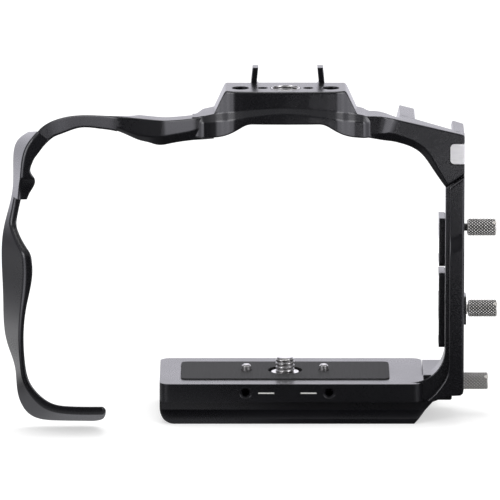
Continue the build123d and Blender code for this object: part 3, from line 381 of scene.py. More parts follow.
coin_low = (LENS_X - 6, BASE_MID_Y - COIN_HALF, HEAD_LOW - 1)
coin_high = (LENS_X + 6, BASE_MID_Y + COIN_HALF, HEAD_LOW + COIN_DEEP)
coin_box = box_rings(coin_low, coin_high)
coin_slot = skin("coin_slot", coin_box, bright_steel, "tie_down_screw")
carve(camera_screw, coin_slot)


# ---------------------------------------------------------------- side column
# The upright on the port side, milled in one with the corner that the base bar is let into, and with
# the block behind it that carries the clamp. A proud outer band runs down its front and round the
# corner, and the web inside it lies back.
def soften(corners, cuts, steps=6):
    """Closed outline whose corner P turns into (1 - t)^2 S + 2t(1 - t) P + t^2 E.

    S and E lie one cut away from P on its two sides, and never beyond 0.45 of a side.
    """
    corners = np.asarray(corners, float)
    before = np.roll(corners, 1, -2) - corners
    after = np.roll(corners, -1, -2) - corners
    before_length = np.linalg.norm(before, axis=-1, keepdims=True)
    after_length = np.linalg.norm(after, axis=-1, keepdims=True)
    room = 0.45 * np.minimum(before_length, after_length)
    cuts = np.minimum(np.asarray(cuts, float)[..., None], room)
    start = (corners + cuts * before / before_length)[..., None, :]
    end = (corners + cuts * after / after_length)[..., None, :]
    t = np.linspace(0, 1, steps)[:, None]
    curve = (1 - t) ** 2 * start + 2 * t * (1 - t) * corners[..., None, :] + t**2 * end
    return curve.reshape(*corners.shape[:-2], -1, corners.shape[-1])


def inset(outline, amount):
    """The outline moved inwards along the mitre of its two sides, m = (n0 + n1) / (1 + n0 . n1)."""
    side = np.roll(outline, -1, 0) - outline
    normal = np.stack([-side[:, 1], side[:, 0]], -1) / np.linalg.norm(side, axis=1, keepdims=True)
    last = np.roll(normal, 1, 0)
    mitre = (last + normal) / np.maximum(1 + np.sum(last * normal, 1, keepdims=True), 0.35)
    return outline + amount * mitre


def slab(outline, low, high, low_round, high_round=0.0):
    """Plate between two depths, its edges rounded with r: r(1 - sin t) in and r(1 - cos t) deep."""
    outline = np.asarray(outline, float)
    x, y = outline.T
    if np.sum(x * np.roll(y, -1) - y * np.roll(x, -1)) < 0:
        outline = outline[::-1]
    angles = np.linspace(0, math.pi / 2, 5)
    lower = [(t, low_round, low + low_round * (1 - math.cos(t))) for t in angles]
    upper = [(t, high_round, high - high_round * (1 - math.cos(t))) for t in angles[::-1]]
    rings = []
    for t, edge_round, depth in lower + upper:
        edge = inset(outline, edge_round * (1 - math.sin(t)))
        rings.append(np.column_stack([edge, np.full(len(edge), depth)]))
    return np.array(rings)


def facing_front(rings):
    """Outline on (X, Z), depth on Y."""
    return rings[..., [0, 2, 1]]


def rings_through(*lines):
    """Rings of corners, ring k through point k of each line."""
    return np.stack(np.broadcast_arrays(*lines), 1)


def at_depth(line, depth):
    """The points of a line on (X, Z), with this depth on Y."""
    return points_at(line[:, 0], depth, line[:, 1])


def milled(name, rings, replaced=(), sharp=38.0):
    """A part of the cage's own body, in black anodised aluminium."""
    return skin(name, rings, black_anodised, "cage", replaced, sharp=sharp)


def ease(share):
    """0 to 1 with level ends: s * s * (3 - 2s), where s is the share held between 0 and 1."""
    share = np.clip(share, 0, 1)
    return share * share * (3 - 2 * share)


COLUMN_IN_X = 65.2
COLUMN_OUT_X = 71.5
BAND_IN_X = 66.5
BAND_Y = -11.0
WEB_Y = -9.2
COLUMN_BACK_Y = -0.5
NOTCH_IN_Z = 80.0
NOTCH_OUT_Z = 84.3
STEP_BACK = 1.2
STEP_LOW_Z = 57.5
STEP_RISE = 6.0
CORNER_R = 11.5
CORNER_MID_Z = 25.3
CORNER_LOW = 7.7
BLOCK_OUT_X = 67.6
BLOCK_LOW = 7.6
BLOCK_TOP = 16.2
BLOCK_REAR_Y = 16.0

corner_angle = np.linspace(0, math.pi / 2, 14)
corner_x = COLUMN_IN_X - CORNER_R + CORNER_R * np.cos(corner_angle)
corner_z = CORNER_MID_Z - CORNER_R * np.sin(corner_angle)
web_corner = np.column_stack([corner_x, corner_z])
web_low = [(COLUMN_IN_X - CORNER_R, CORNER_LOW), (61.0, CORNER_LOW), (64.6, 9.6), (68.0, 16.0)]
web_outline = np.vstack([(COLUMN_IN_X, NOTCH_IN_Z + 0.3), web_corner, web_low, (68.0, NOTCH_IN_Z + 2.2)])
milled("column_web", facing_front(slab(web_outline, WEB_Y, COLUMN_BACK_Y, 0.35, 0.5)), ["side_column"])
band_in = np.array(
    [
        (0.0, BAND_IN_X, 81.0), (0.55, BAND_IN_X, 26.0), (0.70, BAND_IN_X, 20.0), (0.78, 66.2, 17.2),
        (0.84, 65.2, 14.8), (0.90, 63.6, 12.4), (0.95, 61.8, 10.1), (1.0, 59.4, 8.0),
    ]
)
band_out = np.array(
    [
        (0.0, COLUMN_OUT_X, NOTCH_OUT_Z), (0.55, COLUMN_OUT_X, 26.0), (0.72, COLUMN_OUT_X, 11.6),
        (0.77, 71.3, 10.3), (0.81, 70.4, 9.6), (0.85, 68.6, 9.5), (0.89, 66.4, 9.45), (0.94, 64.2, 8.6),
        (1.0, 61.6, 7.6),
    ]
)


def line_at(share, table):
    """Points of a line whose first column is the share of the way along it."""
    return np.column_stack([np.interp(share, table[:, 0], table[:, i]) for i in (1, 2)])


END_ROUND = 1.2
END_DROP = 0.9


def end_drop(distance):
    """How far a front lies back at this distance from an end that is rounded off."""
    near = np.clip(1 - distance / END_ROUND, 0, 1)
    return END_DROP * (1 - np.sqrt(1 - near**2))


band_share = [np.linspace(0, 0.55, 60), np.linspace(0.56, 1, 40), np.linspace(0, 0.02, 12)[1:]]
band_share = np.sort(np.concatenate(band_share))
inner, outer = line_at(band_share, band_in), line_at(band_share, band_out)
front = BAND_Y + STEP_BACK * ease((inner[:, 1] - STEP_LOW_Z) / STEP_RISE)
front = front + end_drop(inner[0, 1] - inner[:, 1])
band_corners = rings_through(
    at_depth(inner, front),
    at_depth(outer, front),
    at_depth(outer, COLUMN_BACK_Y),
    at_depth(inner, COLUMN_BACK_Y - 0.3),
)
milled("column_band", soften(band_corners, [0.55, 1.0, 0.6, 0.2]))
block_low = [(58.0, BLOCK_LOW), (BLOCK_OUT_X, BLOCK_LOW)]
block_top = [(BLOCK_OUT_X, BLOCK_TOP), (58.0, BLOCK_TOP)]
block_outline = soften(block_low + block_top, [0.3, 0.8, 1.2, 0.3])
milled("clamp_block", facing_front(slab(block_outline, WEB_Y + 1.0, BLOCK_REAR_Y, 0.4, 0.8)))

# ---------------------------------------------------------------- engraved dashes
# Two short strokes between the M3 holes, engraved in the bar's front and filled with white paint.
# The paint is dull and lies a little below the metal.
tree, place = new_finish("white_paint")
fleck = tree.noise(place, 5000.0)
tone = tree.blend(fleck, (0.42, 0.42, 0.41, 1), (0.70, 0.70, 0.68, 1))
relief = tree.add("ShaderNodeBump", None, {"Strength": 0.4, "Distance": 0.00002, "Height": fleck})
white_paint = tree.cover({"Base Color": tone, "Roughness": fleck * 0.2 + 0.5, "Normal": relief})
DASH_HALF = 2.7
DASH_LOW = 10.45
DASH_TOP = 10.95
DASH_Y = -11.4
DASH_THICK = 0.3
for name, x in (("dash_left", 5.4), ("dash_right", 19.6)):
    left, right = x - DASH_HALF, x + DASH_HALF
    dash = soften([(left, DASH_LOW), (right, DASH_LOW), (right, DASH_TOP), (left, DASH_TOP)], 0.2)
    dash = facing_front(slab(dash, DASH_Y, DASH_Y + DASH_THICK, 0.05))
    skin(name, dash, white_paint, "cage")

# ---------------------------------------------------------------- bridge
# The raised middle of the top, milled from the same blank as the arch and the shoulder.
# Its front bows forward over the lens and carries an arched rib; five holes stand in one row on top.
BRIDGE_LEFT_X = -15.0
BRIDGE_RIGHT_X = 38.6
BRIDGE_TOP = 114.0
BRIDGE_UNDER = 103.2
BRIDGE_FRONT_Y = -11.5
BRIDGE_BACK_Y = 2.2
HOLE_Y = -7.8
RIB_PROUD = 1.4
RIB_HALF = 26.8
RIB_TOP = 108.5
RIB_FALL = 3.3


def rounded(values, width=7):
    """Running mean over this many stations, with the ends held."""
    padded = np.pad(values, width // 2, mode="edge")
    return np.convolve(padded, np.ones(width) / width, mode="valid")


along = np.linspace(BRIDGE_LEFT_X - 4.2, BRIDGE_RIGHT_X + 3.0, 361)
out = np.abs(along - LENS_X)
left_side = along < LENS_X
fade = ease((out - np.where(left_side, RIB_HALF, RIB_HALF - 1.2)) / 3.4)
proud = RIB_PROUD * (1 - fade) + 0.02
rib_z = RIB_TOP - RIB_FALL * (np.minimum(out, RIB_HALF) / RIB_HALF) ** 2 - 0.5 * fade
end_top = np.where(left_side, 104.4, 105.0)
top_z = rounded(np.interp(out, [0, 20.1, 24.0, RIB_HALF], [BRIDGE_TOP, BRIDGE_TOP, 105.5, 105.2]))
top_z = np.maximum(top_z * (1 - fade) + end_top * fade, rib_z + 0.06)
under_out = [0, 12.8, 15.4, 17.9, 20.0, 22.0, RIB_HALF]
under_heights = [BRIDGE_UNDER, BRIDGE_UNDER, 101.5, 100.0, 99.0, 98.3, 97.8]
under_z = rounded(np.interp(out, under_out, under_heights), 21)
bow_out = [0, 8, 14, 17, 19, 21, 23, 25, RIB_HALF]
bow_depths = [4.0, 3.85, 3.45, 3.1, 2.4, 1.2, 0.45, 0.15, 0.0]
bow = BRIDGE_FRONT_Y - rounded(np.interp(out, bow_out, bow_depths)) + 0.25 * fade
back = BRIDGE_BACK_Y - np.where(left_side, 6.6, 4.0) * fade
drop = np.interp(out, [0, 20, 26, 30], [1.5, 2.5, 2.2, 1.6])
bridge_corners = rings_through(
    points_at(along, back, top_z),
    points_at(along, bow, top_z),
    points_at(along, bow, rib_z),
    points_at(along, bow - proud, rib_z - drop),
    points_at(along, bow - proud, under_z),
    points_at(along, back, under_z),
)
bridge = milled("bridge_dressed", soften(bridge_corners, [0.8, 0.8, 0.3, 0.4, 0.6, 0.7]), ["bridge"])


def drill(x, profile):
    """Turned cutter on an upright axis: (x + r cos u, y + r sin u, z) for each (z, r) of the profile."""
    z, r = np.asarray(profile, float).T[:, :, None]
    u = np.linspace(0, 2 * math.pi, 48, endpoint=False)[None, :]
    return milled("drill", points_at(x + r * np.cos(u), HOLE_Y + r * np.sin(u), z))


QUARTER_OUT = 15.0
PIN_OUT = 7.6
PAST_TOP = BRIDGE_TOP + 0.6
quarter_hole = [(95, 2.75), (BRIDGE_TOP - 0.2, 2.75), (BRIDGE_TOP + 0.1, 3.0), (PAST_TOP, 3.4)]
pin_hole = [(110, 1.6), (BRIDGE_TOP - 0.2, 1.6), (PAST_TOP, 2.4)]
insert_hole = [(95, 4.5), (106, 4.5), (106, 4.95), (BRIDGE_TOP - 0.3, 4.95), (PAST_TOP, 5.6)]
carve(
    bridge,
    drill(LENS_X - QUARTER_OUT, quarter_hole),
    drill(LENS_X + QUARTER_OUT, quarter_hole),
    drill(LENS_X - PIN_OUT, pin_hole),
    drill(LENS_X + PIN_OUT, pin_hole),
    drill(LENS_X, insert_hole),
)

# ---------------------------------------------------------------- threaded insert
# A turned bright steel bush pressed into the middle hole, with a 3/8 inch thread, 16 to the inch.
# It spares the aluminium when accessories are screwed in again and again.
INSERT_LOW = 106.0
INSERT_TOP = 114.1
INSERT_R = 4.9
BORE_R = 4.25
BORE_PITCH = 1.5875
insert_inside = [(INSERT_LOW + 0.2, BORE_R), (113.6, BORE_R), (INSERT_TOP, BORE_R + 0.25)]
insert_outside = [(INSERT_TOP, 4.75), (113.95, INSERT_R), (INSERT_LOW, INSERT_R), (INSERT_LOW, 4.4)]
insert_profile = divide(insert_inside + insert_outside, 0.12)
height = insert_profile[:, :1]
radius = insert_profile[:, 1:]
bored = radius < BORE_R + 0.05
ridge = bored * triangle(height / BORE_PITCH - turn / (2 * math.pi))
insert_r = radius + 0.25 * (1 - 2 * ridge) * bored
skin(
    "thread_insert_dressed",
    points_at(LENS_X + insert_r * np.cos(turn), HOLE_Y + insert_r * np.sin(turn), height),
    bright_steel,
    "cage",
    ["thread_insert"],
    # painted shade: the thread's valleys in the bore are darkened through the cut mark
    cut=0.5 * bored * (1 - ridge),
    joined=True,
)

# ---------------------------------------------------------------- shoe guard
# A low U-shaped bracket screwed behind the bridge. Its two ears stand beside the camera's own
# accessory shoe, so that a cable or a flash foot isn't knocked. Milled and anodised as the rest.
EAR_MID_X = LENS_X + 0.8
EAR_TIP = 118.9
BAR_LOW = 108.0
BAR_TOP = 113.0
EAR_DEEP = 5.0
ear_outer = np.array(
    [(11.75, EAR_TIP), (12.05, 116.2), (12.25, 114.0), (12.25, 109.0), (11.4, BAR_LOW), (6.0, BAR_LOW)]
)
ear_inner = np.array(
    [(9.85, EAR_TIP), (10.1, 116.2), (10.3, 114.2), (10.3, 113.6), (9.7, BAR_TOP), (6.0, BAR_TOP)]
)
ear_outer = np.vstack([ear_outer * (-1, 1), ear_outer[::-1]]) + (EAR_MID_X, 0)
ear_inner = np.vstack([ear_inner * (-1, 1), ear_inner[::-1]]) + (EAR_MID_X, 0)
EAR_BACK_Y = BRIDGE_BACK_Y + EAR_DEEP
ears = rings_through(
    at_depth(ear_outer, BRIDGE_BACK_Y),
    at_depth(ear_inner, BRIDGE_BACK_Y),
    at_depth(ear_inner, EAR_BACK_Y),
    at_depth(ear_outer, EAR_BACK_Y),
)
milled("shoe_guard_dressed", soften(ears, 0.35), ["shoe_guard"], sharp=30.0)

# ---------------------------------------------------------------- shoulder and cold shoe
# The top corner over the port side. Its inner edge has a broad bevel. Behind its slanted top lies a
# table with two rails, closed in front and open at the rear: a cold shoe for a microphone or a lamp.
SHOULDER_TOP = 105.1
SHOULDER_STEP = 1.7
SHOULDER_STEP_X = 44.0
SHOULDER_STEP_RUN = 4.3
SHOULDER_TURN = ([48.3, 54.0, 62.0, 71.5], [0.0, 0.25, 0.6, 0.9])
SHOULDER_REAR_Y = -1.0
SLOPE = math.radians(13.6)


def spline(points, shares, knots=None):
    """Natural cubic through the points, with knots at chord length unless they are given.

    The second derivatives M solve h0 M0 + 2(h0 + h1) M1 + h1 M2 = 6 (slope1 - slope0).
    """
    points = np.asarray(points, float)
    if knots is None:
        knots = np.concatenate([[0], np.cumsum(np.linalg.norm(np.diff(points, axis=0), axis=1))])
        knots = knots / knots[-1]
    gap = np.diff(knots)
    slopes = np.diff(points, axis=0) / gap[:, None]
    size = len(knots)
    system = np.eye(size)
    system[range(1, size - 1), range(0, size - 2)] = gap[:-1]
    system[range(1, size - 1), range(1, size - 1)] = 2 * (gap[:-1] + gap[1:])
    system[range(1, size - 1), range(2, size)] = gap[1:]
    right = np.zeros_like(points)
    right[1:-1] = 6 * np.diff(slopes, axis=0)
    bend = np.linalg.solve(system, right)
    k = np.clip(np.searchsorted(knots, shares, side="right") - 1, 0, size - 2)
    h = gap[k][:, None]
    b = (shares - knots[k])[:, None] / h
    a = 1 - b
    lift = ((a**3 - a) * bend[k] + (b**3 - b) * bend[k + 1]) * h**2 / 6
    return a * points[k] + b * points[k + 1] + lift


CORNER_SHARE = 0.69
shoulder_share = [np.linspace(0, CORNER_SHARE, 70), np.linspace(CORNER_SHARE, 1, 50)[1:]]
shoulder_share = np.sort(np.concatenate([*shoulder_share, np.linspace(0.97, 1, 14)[:-1]]))
shoulder_in = [(BRIDGE_RIGHT_X, 97.8), (47.4, 95.9), (56.3, 92.3), (61.0, 86.2), (COLUMN_IN_X, 80.2)]
inner = spline(shoulder_in, shoulder_share)
shoulder_out = np.array(
    [
        (0.0, BRIDGE_RIGHT_X, SHOULDER_TOP), (0.06, 41.4, SHOULDER_TOP), (0.11, 43.6, 104.98),
        (0.14, 45.2, 104.66), (0.18, 47.4, 104.0), (0.25, 50.7, 103.16), (0.66, 70.2, 98.44),
        (CORNER_SHARE, 71.2, 98.1), (0.70, COLUMN_OUT_X, 97.6), (1.0, COLUMN_OUT_X, NOTCH_OUT_Z + 0.2),
    ]
)
outer = line_at(shoulder_share, shoulder_out)
across = (outer - inner) / np.linalg.norm(outer - inner, axis=1, keepdims=True)


def shoulder_front(x):
    """The front is flush with the bridge at first, then steps back 1.7 mm and turns outwards."""
    step = SHOULDER_STEP * ease((x - SHOULDER_STEP_X) / SHOULDER_STEP_RUN)
    return BRIDGE_FRONT_Y + step + np.interp(x, *SHOULDER_TURN)


bevel_x = [BRIDGE_RIGHT_X, 45.0, 56.0, 62.0, COLUMN_IN_X]
bevel_wide = np.interp(inner[:, 0], bevel_x, [0.5, 3.2, 2.4, 1.6, 1.2])[:, None]
bevel_deep = np.interp(inner[:, 0], bevel_x, [0.5, 1.8, 1.7, 1.6, 1.2])
ledge = inner + bevel_wide * across
from_end = np.linalg.norm(outer - outer[-1], axis=1)
sunk = end_drop(from_end)
side_on = np.clip((shoulder_share - 0.66) / 0.05, 0, 1)
rear_cut = np.interp(outer[:, 0], [41.6, 49.0], [0.6, 4.2]) * (1 - side_on) + 0.9 * side_on
rear_edge = outer - rear_cut[:, None] * np.where(side_on[:, None] > 0.5, across, (0.0, 1.0))
shoulder_corners = rings_through(
    at_depth(ledge, shoulder_front(ledge[:, 0]) + sunk),
    at_depth(outer, shoulder_front(outer[:, 0]) + sunk),
    at_depth(outer, SHOULDER_REAR_Y - rear_cut),
    at_depth(rear_edge, SHOULDER_REAR_Y),
    at_depth(inner, SHOULDER_REAR_Y),
    at_depth(inner, shoulder_front(inner[:, 0]) + bevel_deep + sunk),
)
shoulder_rings = soften(shoulder_corners, [0.35, 0.5, 0.3, 0.3, 0.5, 0.4])
shoulder = milled("shoulder_dressed", shoulder_rings, ["shoulder"])


def axes_at(angle):
    """The two axes of a plane turned by this angle."""
    return np.array([[math.cos(angle), math.sin(angle)], [-math.sin(angle), math.cos(angle)]])


SHOE_MID = np.array([61.5, 100.45])
SHOE_SIDE = -11.8
SHOE_MOUTH = 6.4
SHOE_SLOT = 9.35
SHOE_LIP = 1.9
SHOE_FLOOR = -4.1
SHOE_UNDER = -6.1
STOP_IN = 1.0
STOP_FROM = 4.5
slope_axes = axes_at(-SLOPE)
right_top = (COLUMN_OUT_X - SHOE_MID[0]) / math.cos(SLOPE)
right_under = right_top - SHOE_UNDER * math.tan(SLOPE)
stop_top = [(SHOE_SIDE, 0), (right_top - STOP_IN, 0)]
stop_under = [(right_under - STOP_IN, SHOE_UNDER), (SHOE_SIDE, SHOE_UNDER)]
slot_mouth = [(SHOE_MOUTH + 0.4, 0.0), (SHOE_MOUTH, -0.4), (SHOE_MOUTH, -SHOE_LIP)]
half_slot = np.array([*slot_mouth, (SHOE_SLOT, -SHOE_LIP), (SHOE_SLOT, SHOE_FLOOR)])
rail_under = [(right_top, 0.0), (right_under, SHOE_UNDER), (SHOE_SIDE, SHOE_UNDER)]
rail_section = np.vstack([(SHOE_SIDE, 0.0), half_slot * (-1, 1), half_slot[::-1], rail_under])


def on_slope(section, ends):
    """Rings of the section, each at depth(s) + more behind the bridge's front and lying in by an inset."""
    rings = []
    for depth, more, amount in ends:
        ring = inset(section[::-1], amount) if amount else section[::-1]
        place = ring @ slope_axes + SHOE_MID
        rings.append(np.column_stack([place[:, 0], BRIDGE_FRONT_Y + depth(ring[:, 0]) + more, place[:, 1]]))
    return np.array(rings)


def stop_depth(s):
    """The stop is thicker at its inner end."""
    return np.interp(s, [-SHOE_MOUTH, SHOE_MOUTH], [12.6, 7.4])


def rear_depth(s):
    """The rear end is cut obliquely."""
    return np.interp(s, [SHOE_SIDE, SHOE_SIDE + 0.9, right_top], [29.0, 31.0, 23.5])


def start_depth(s):
    """The stop starts level, inside the shoulder."""
    return np.full(len(s), STOP_FROM)


stop_ends = [(start_depth, 0, 0.3), (start_depth, 0.3, 0), (stop_depth, -0.15, 0), (stop_depth, 0, 0.15)]
rail_ends = [(stop_depth, -1.0, 0), (rear_depth, -0.4, 0), (rear_depth, -0.1, 0.12), (rear_depth, 0, 0.4)]
milled("shoe_stop", on_slope(soften(stop_top + stop_under, 0.35), stop_ends))
milled("shoe_rails", on_slope(soften(rail_section, 0.3, 4), rail_ends), sharp=30.0)


# ---------------------------------------------------------------- corner badge
# A small bent plate of brushed aluminium, left plain, glued into a recess at the outer corner.
# The brushing runs across its front.
STROKES = 9000.0
STROKE_STRETCH = (0.025, 0.1, 1.0)


def brushed(name, colour):
    """Aluminium brushed along X: noise stretched 40 times along the strokes."""
    tree, place = new_finish(name)
    stretched = tree.add("ShaderNodeMapping", None, {"Vector": place, "Scale": STROKE_STRETCH})
    stroke = tree.noise(stretched, STROKES, 3.0)
    tone = tree.blend(stroke, (*[c * 0.7 for c in colour], 1), (*colour, 1))
    bump = tree.add("ShaderNodeBump", None, {"Strength": 1.0, "Distance": 0.00003, "Height": stroke})
    values = {"Base Color": tone, "Roughness": stroke * 0.2 + 0.28, "Metallic": 0.35, "Normal": bump}
    return tree.cover(values)


BADGE_IN_X = 66.7
BADGE_MID_Z = 91.8
BADGE_HALF = 3.4
BADGE_CORNER = 1.4
BADGE_THICK = 0.8
BADGE_BACK_Y = -5.4


def bent_plate(name, grow, thick, front_y, material, replaced):
    """Plate round the outer corner; its inner end is rounded by h = H - R + sqrt(R^2 - (R - s)^2)."""
    run = np.linspace(0, BADGE_CORNER, 9) + 0.02
    start = BADGE_IN_X - grow + run
    back_y = BADGE_BACK_Y + grow
    turn_x = COLUMN_OUT_X + grow
    under_x, under_y = turn_x - thick, front_y + thick
    bend = [(turn_x - 0.5, front_y), (turn_x - 0.15, front_y + 0.15), (turn_x, front_y + 0.5)]
    plan = np.vstack([np.column_stack([start, np.full(len(run), front_y)]), bend, (turn_x, back_y)])
    bend = [(under_x - 0.1, under_y), (under_x - 0.02, under_y + 0.02), (under_x, under_y + 0.1)]
    inward = np.vstack([np.column_stack([start, np.full(len(run), under_y)]), bend, (under_x, back_y)])
    half = np.full(len(plan), BADGE_HALF + grow)
    half[: len(run)] -= BADGE_CORNER - np.sqrt(BADGE_CORNER**2 - (BADGE_CORNER - run) ** 2)
    corners = rings_through(
        np.column_stack([plan, BADGE_MID_Z + half]),
        np.column_stack([plan, BADGE_MID_Z - half]),
        np.column_stack([inward, BADGE_MID_Z - half]),
        np.column_stack([inward, BADGE_MID_Z + half]),
    )
    return skin(name, soften(corners, 0.12), material, "cage", replaced, sharp=30.0)


BADGE_FRONT_Y = -9.3
RECESS_FRONT_Y = -10.2
RECESS_DEEP = 1.9
RECESS_GAP = 0.3
carve(shoulder, bent_plate("badge_recess", RECESS_GAP, RECESS_DEEP, RECESS_FRONT_Y, black_anodised, []))
brushed_badge = brushed("brushed_badge", (0.86, 0.85, 0.87))
bent_plate("corner_badge_dressed", 0.0, BADGE_THICK, BADGE_FRONT_Y, brushed_badge, ["corner_badge"])

# ---------------------------------------------------------------- grip guard
# A milled wall that wraps the fingers on the grip, open inside, with a narrow front rim and a
# finger notch, anodised as the rest. Four splines draw it, rim and rear edge, outside and inside, and
# each station joins them at one share of their way.
RIM_Y = -28.5
GUARD_REAR_Y = -13.5
FOOT_END_X = -48.0
FOOT_END_R = 1.5
FOOT_TAPER = 5.0
FOOT_ROUND = 1.4
LIP_Z = 80.0
HOLLOW_TOP = 87.6
HOLLOW_DEEP = 3.0
NOTCH_Z = [61.0, 62.5, 70.0, 71.5, 73.0]
NOTCH_DEPTHS = [0.0, 0.7, 9.1, 9.9, 10.0]
# Outer rim, inner rear edge and outer rear edge, from the arch down to the end of the foot.
guard_lines = np.array(
    [
        [(-70.2, 103.4), (-71.5, 98.3), (-73.8, 100.3)],
        [(-73.6, 98.9), (-75.2, 95.6), (-77.6, 97.2)],
        [(-75.6, 92.4), (-76.6, 89.5), (-78.9, 90.0)],
        [(-76.2, 82.0), (-76.9, 80.4), (-79.2, 80.4)],
        [(-76.0, 68.0), (-80.0, 66.6), (-82.4, 67.0)],
        [(-75.0, 55.8), (-80.7, 55.0), (-83.0, 55.0)],
        [(-75.9, 45.0), (-80.3, 44.0), (-82.6, 44.0)],
        [(-76.8, 32.6), (-79.1, 29.4), (-81.4, 29.0)],
        [(-76.4, 24.0), (-76.3, 20.4), (-78.6, 20.0)],
        [(-74.2, 16.0), (-75.2, 10.9), (-77.5, 10.0)],
        [(-69.1, 10.1), (-71.9, 5.9), (-73.5, 3.6)],
        [(-61.0, 7.6), (-63.6, 4.1), (-64.0, 1.7)],
        [(FOOT_END_X, 7.4), (FOOT_END_X, 3.9), (FOOT_END_X, 1.5)],
    ]
)
rim_outer, rear_inner, rear_outer = guard_lines.transpose(1, 0, 2)
rim_inner = [
    (-66.5, 100.5), (-69.9, 95.7), (-72.0, 92.2), (-72.4, 89.8), (-70.8, 87.2), (-70.4, 85.4),
    (-71.8, 82.3), (-73.2, 78.5), (-73.4, 68.0), (-71.8, 56.0), (-73.7, 45.0), (-75.0, 32.6),
    (-74.6, 24.5), (-72.2, 17.0), (-67.3, 12.2), (-61.0, 10.4), (FOOT_END_X, 10.2),
]
chords = np.linalg.norm(np.diff(guard_lines, axis=0), axis=2).mean(1)
knots = np.concatenate([[0], np.cumsum(chords)]) / chords.sum()
upper_z = np.array(rim_inner)[2:8, 1]
upper_knots = np.interp(-upper_z, [-99.3, -92.6, -82.0, -68.0], knots[1:5])
inner_knots = np.concatenate([knots[:2], upper_knots, knots[4:]])
trial = np.linspace(0, 1, 2000)
trial_z = spline(rim_outer, trial, knots)[:, 1]
lip_share = trial[np.argmin(np.abs(trial_z - LIP_Z))]
foot_share = 1 - 0.032 * (1 - np.sin(np.linspace(0, math.pi / 2, 26)))
shares = [np.linspace(0, 0.966, 230), foot_share, [lip_share - 0.0002, lip_share + 0.0002]]
shares = np.sort(np.concatenate(shares))
stations = rings_through(
    spline(rim_outer, shares, knots),
    spline(rim_inner, shares, inner_knots),
    spline(rear_inner, shares, knots),
    spline(rear_outer, shares, knots),
)
end_x = np.clip((stations[..., :1] - (FOOT_END_X - FOOT_ROUND)) / FOOT_ROUND, 0, 0.97)
stations = stations + 0.5 * (1 - np.sqrt(1 - end_x**2)) * (stations[:, [1, 0, 3, 2]] - stations)
rim_z = stations[:, 0, 1]
hollow = np.clip((HOLLOW_TOP - rim_z) / 7.3, 0, 1)
hollow = HOLLOW_DEEP * (1 - (1 - hollow) ** 2)
notch = np.where(shares < lip_share, hollow, np.interp(rim_z, NOTCH_Z, NOTCH_DEPTHS))
front_x = np.clip((stations[:, :2, 0] - (FOOT_END_X - FOOT_END_R)) / FOOT_END_R, 0, 0.985)
rear_x = np.clip((stations[:, 2:, 0] - (FOOT_END_X - FOOT_TAPER)) / FOOT_TAPER, 0, 0.995)
GUARD_DEPTH = GUARD_REAR_Y - RIM_Y
front_in = notch[:, None] + FOOT_END_R * (1 - np.sqrt(1 - front_x**2))
rear_in = (GUARD_DEPTH - FOOT_END_R) * (1 - np.sqrt(1 - rear_x**2))
guard = np.empty((len(shares), 4, 3))
rims, rears = stations[:, :2], stations[:, [3, 2]]
front_share = (front_in / GUARD_DEPTH)[..., None]
rear_share = (rear_in / GUARD_DEPTH)[..., None]
guard[:, :2, [0, 2]] = rims + front_share * (rears - rims)
guard[:, 2:, [0, 2]] = stations[:, 2:] + rear_share * (stations[:, [1, 0]] - stations[:, 2:])
guard[:, :2, 1] = RIM_Y + front_in
guard[:, 2:, 1] = GUARD_REAR_Y - rear_in
milled("grip_guard_dressed", soften(guard, [1.1, 0.95, 0.7, 0.9], 8), ["grip_guard"])

# ---------------------------------------------------------------- arch over the grip
# The band that joins the bridge to the guard, running forwards as it goes out over the grip.
# Its front edge is bevelled, more broadly over the grip than near the bridge.
ARCH_DEPTH = 8.2
ARCH_END_X = -12.0
SLIM_X = -37.0
SLIM_RUN = 8.0
arch_top = np.array(
    [
        (ARCH_END_X, 104.8), (-25.0, 104.6), (-38.5, 105.9), (-48.0, 107.1), (-55.7, 107.9),
        (-63.3, 107.3), (-67.0, 106.0), (-70.2, 103.4), (-71.9, 101.0),
    ]
)
arch_crease = np.array(
    [
        (ARCH_END_X, 101.6), (-16.7, 101.1), (-20.0, 100.3), (-23.3, 100.0), (-26.7, 99.8),
        (-30.0, 99.5), (-33.3, 99.5), (-36.7, 99.9), (-40.0, 101.1), (-44.0, 102.9),
    ]
)
arch_under = np.array(
    [
        (ARCH_END_X, 97.2), (-16.7, 96.9), (-20.0, 96.85), (-26.7, 96.5), (-31.3, 96.45), (-33.3, 97.1),
        (-36.7, 98.0), (-40.0, 99.45), (-44.0, 101.2), (-50.0, 102.65), (-56.7, 103.4), (-62.3, 101.9),
        (-65.0, 100.95), (-67.3, 99.1), (-69.5, 96.7),
    ]
)
arch_plan_x = [-71.9, -69.6, -67.0, -64.0, -61.0, -46.0, -44.0, -28.5, -18.5, -17.0, ARCH_END_X]
arch_plan_y = [RIM_Y, -28.4, -27.8, -26.6, -25.3, -19.4, -18.7, -17.6, -12.2, -11.9, BRIDGE_FRONT_Y]
arch_share = np.linspace(0, 1, 240)
top_x = np.interp(arch_share, [0, 0.85, 1], [ARCH_END_X, -63.0, arch_top[-1, 0]])
under_x = np.interp(arch_share, [0, 0.85, 1], [ARCH_END_X, -62.0, arch_under[-1, 0]])


def height_at(x, line):
    """Height of a line given from right to left."""
    return spline(line[:, 1:], -x, -line[:, 0])[:, 0]


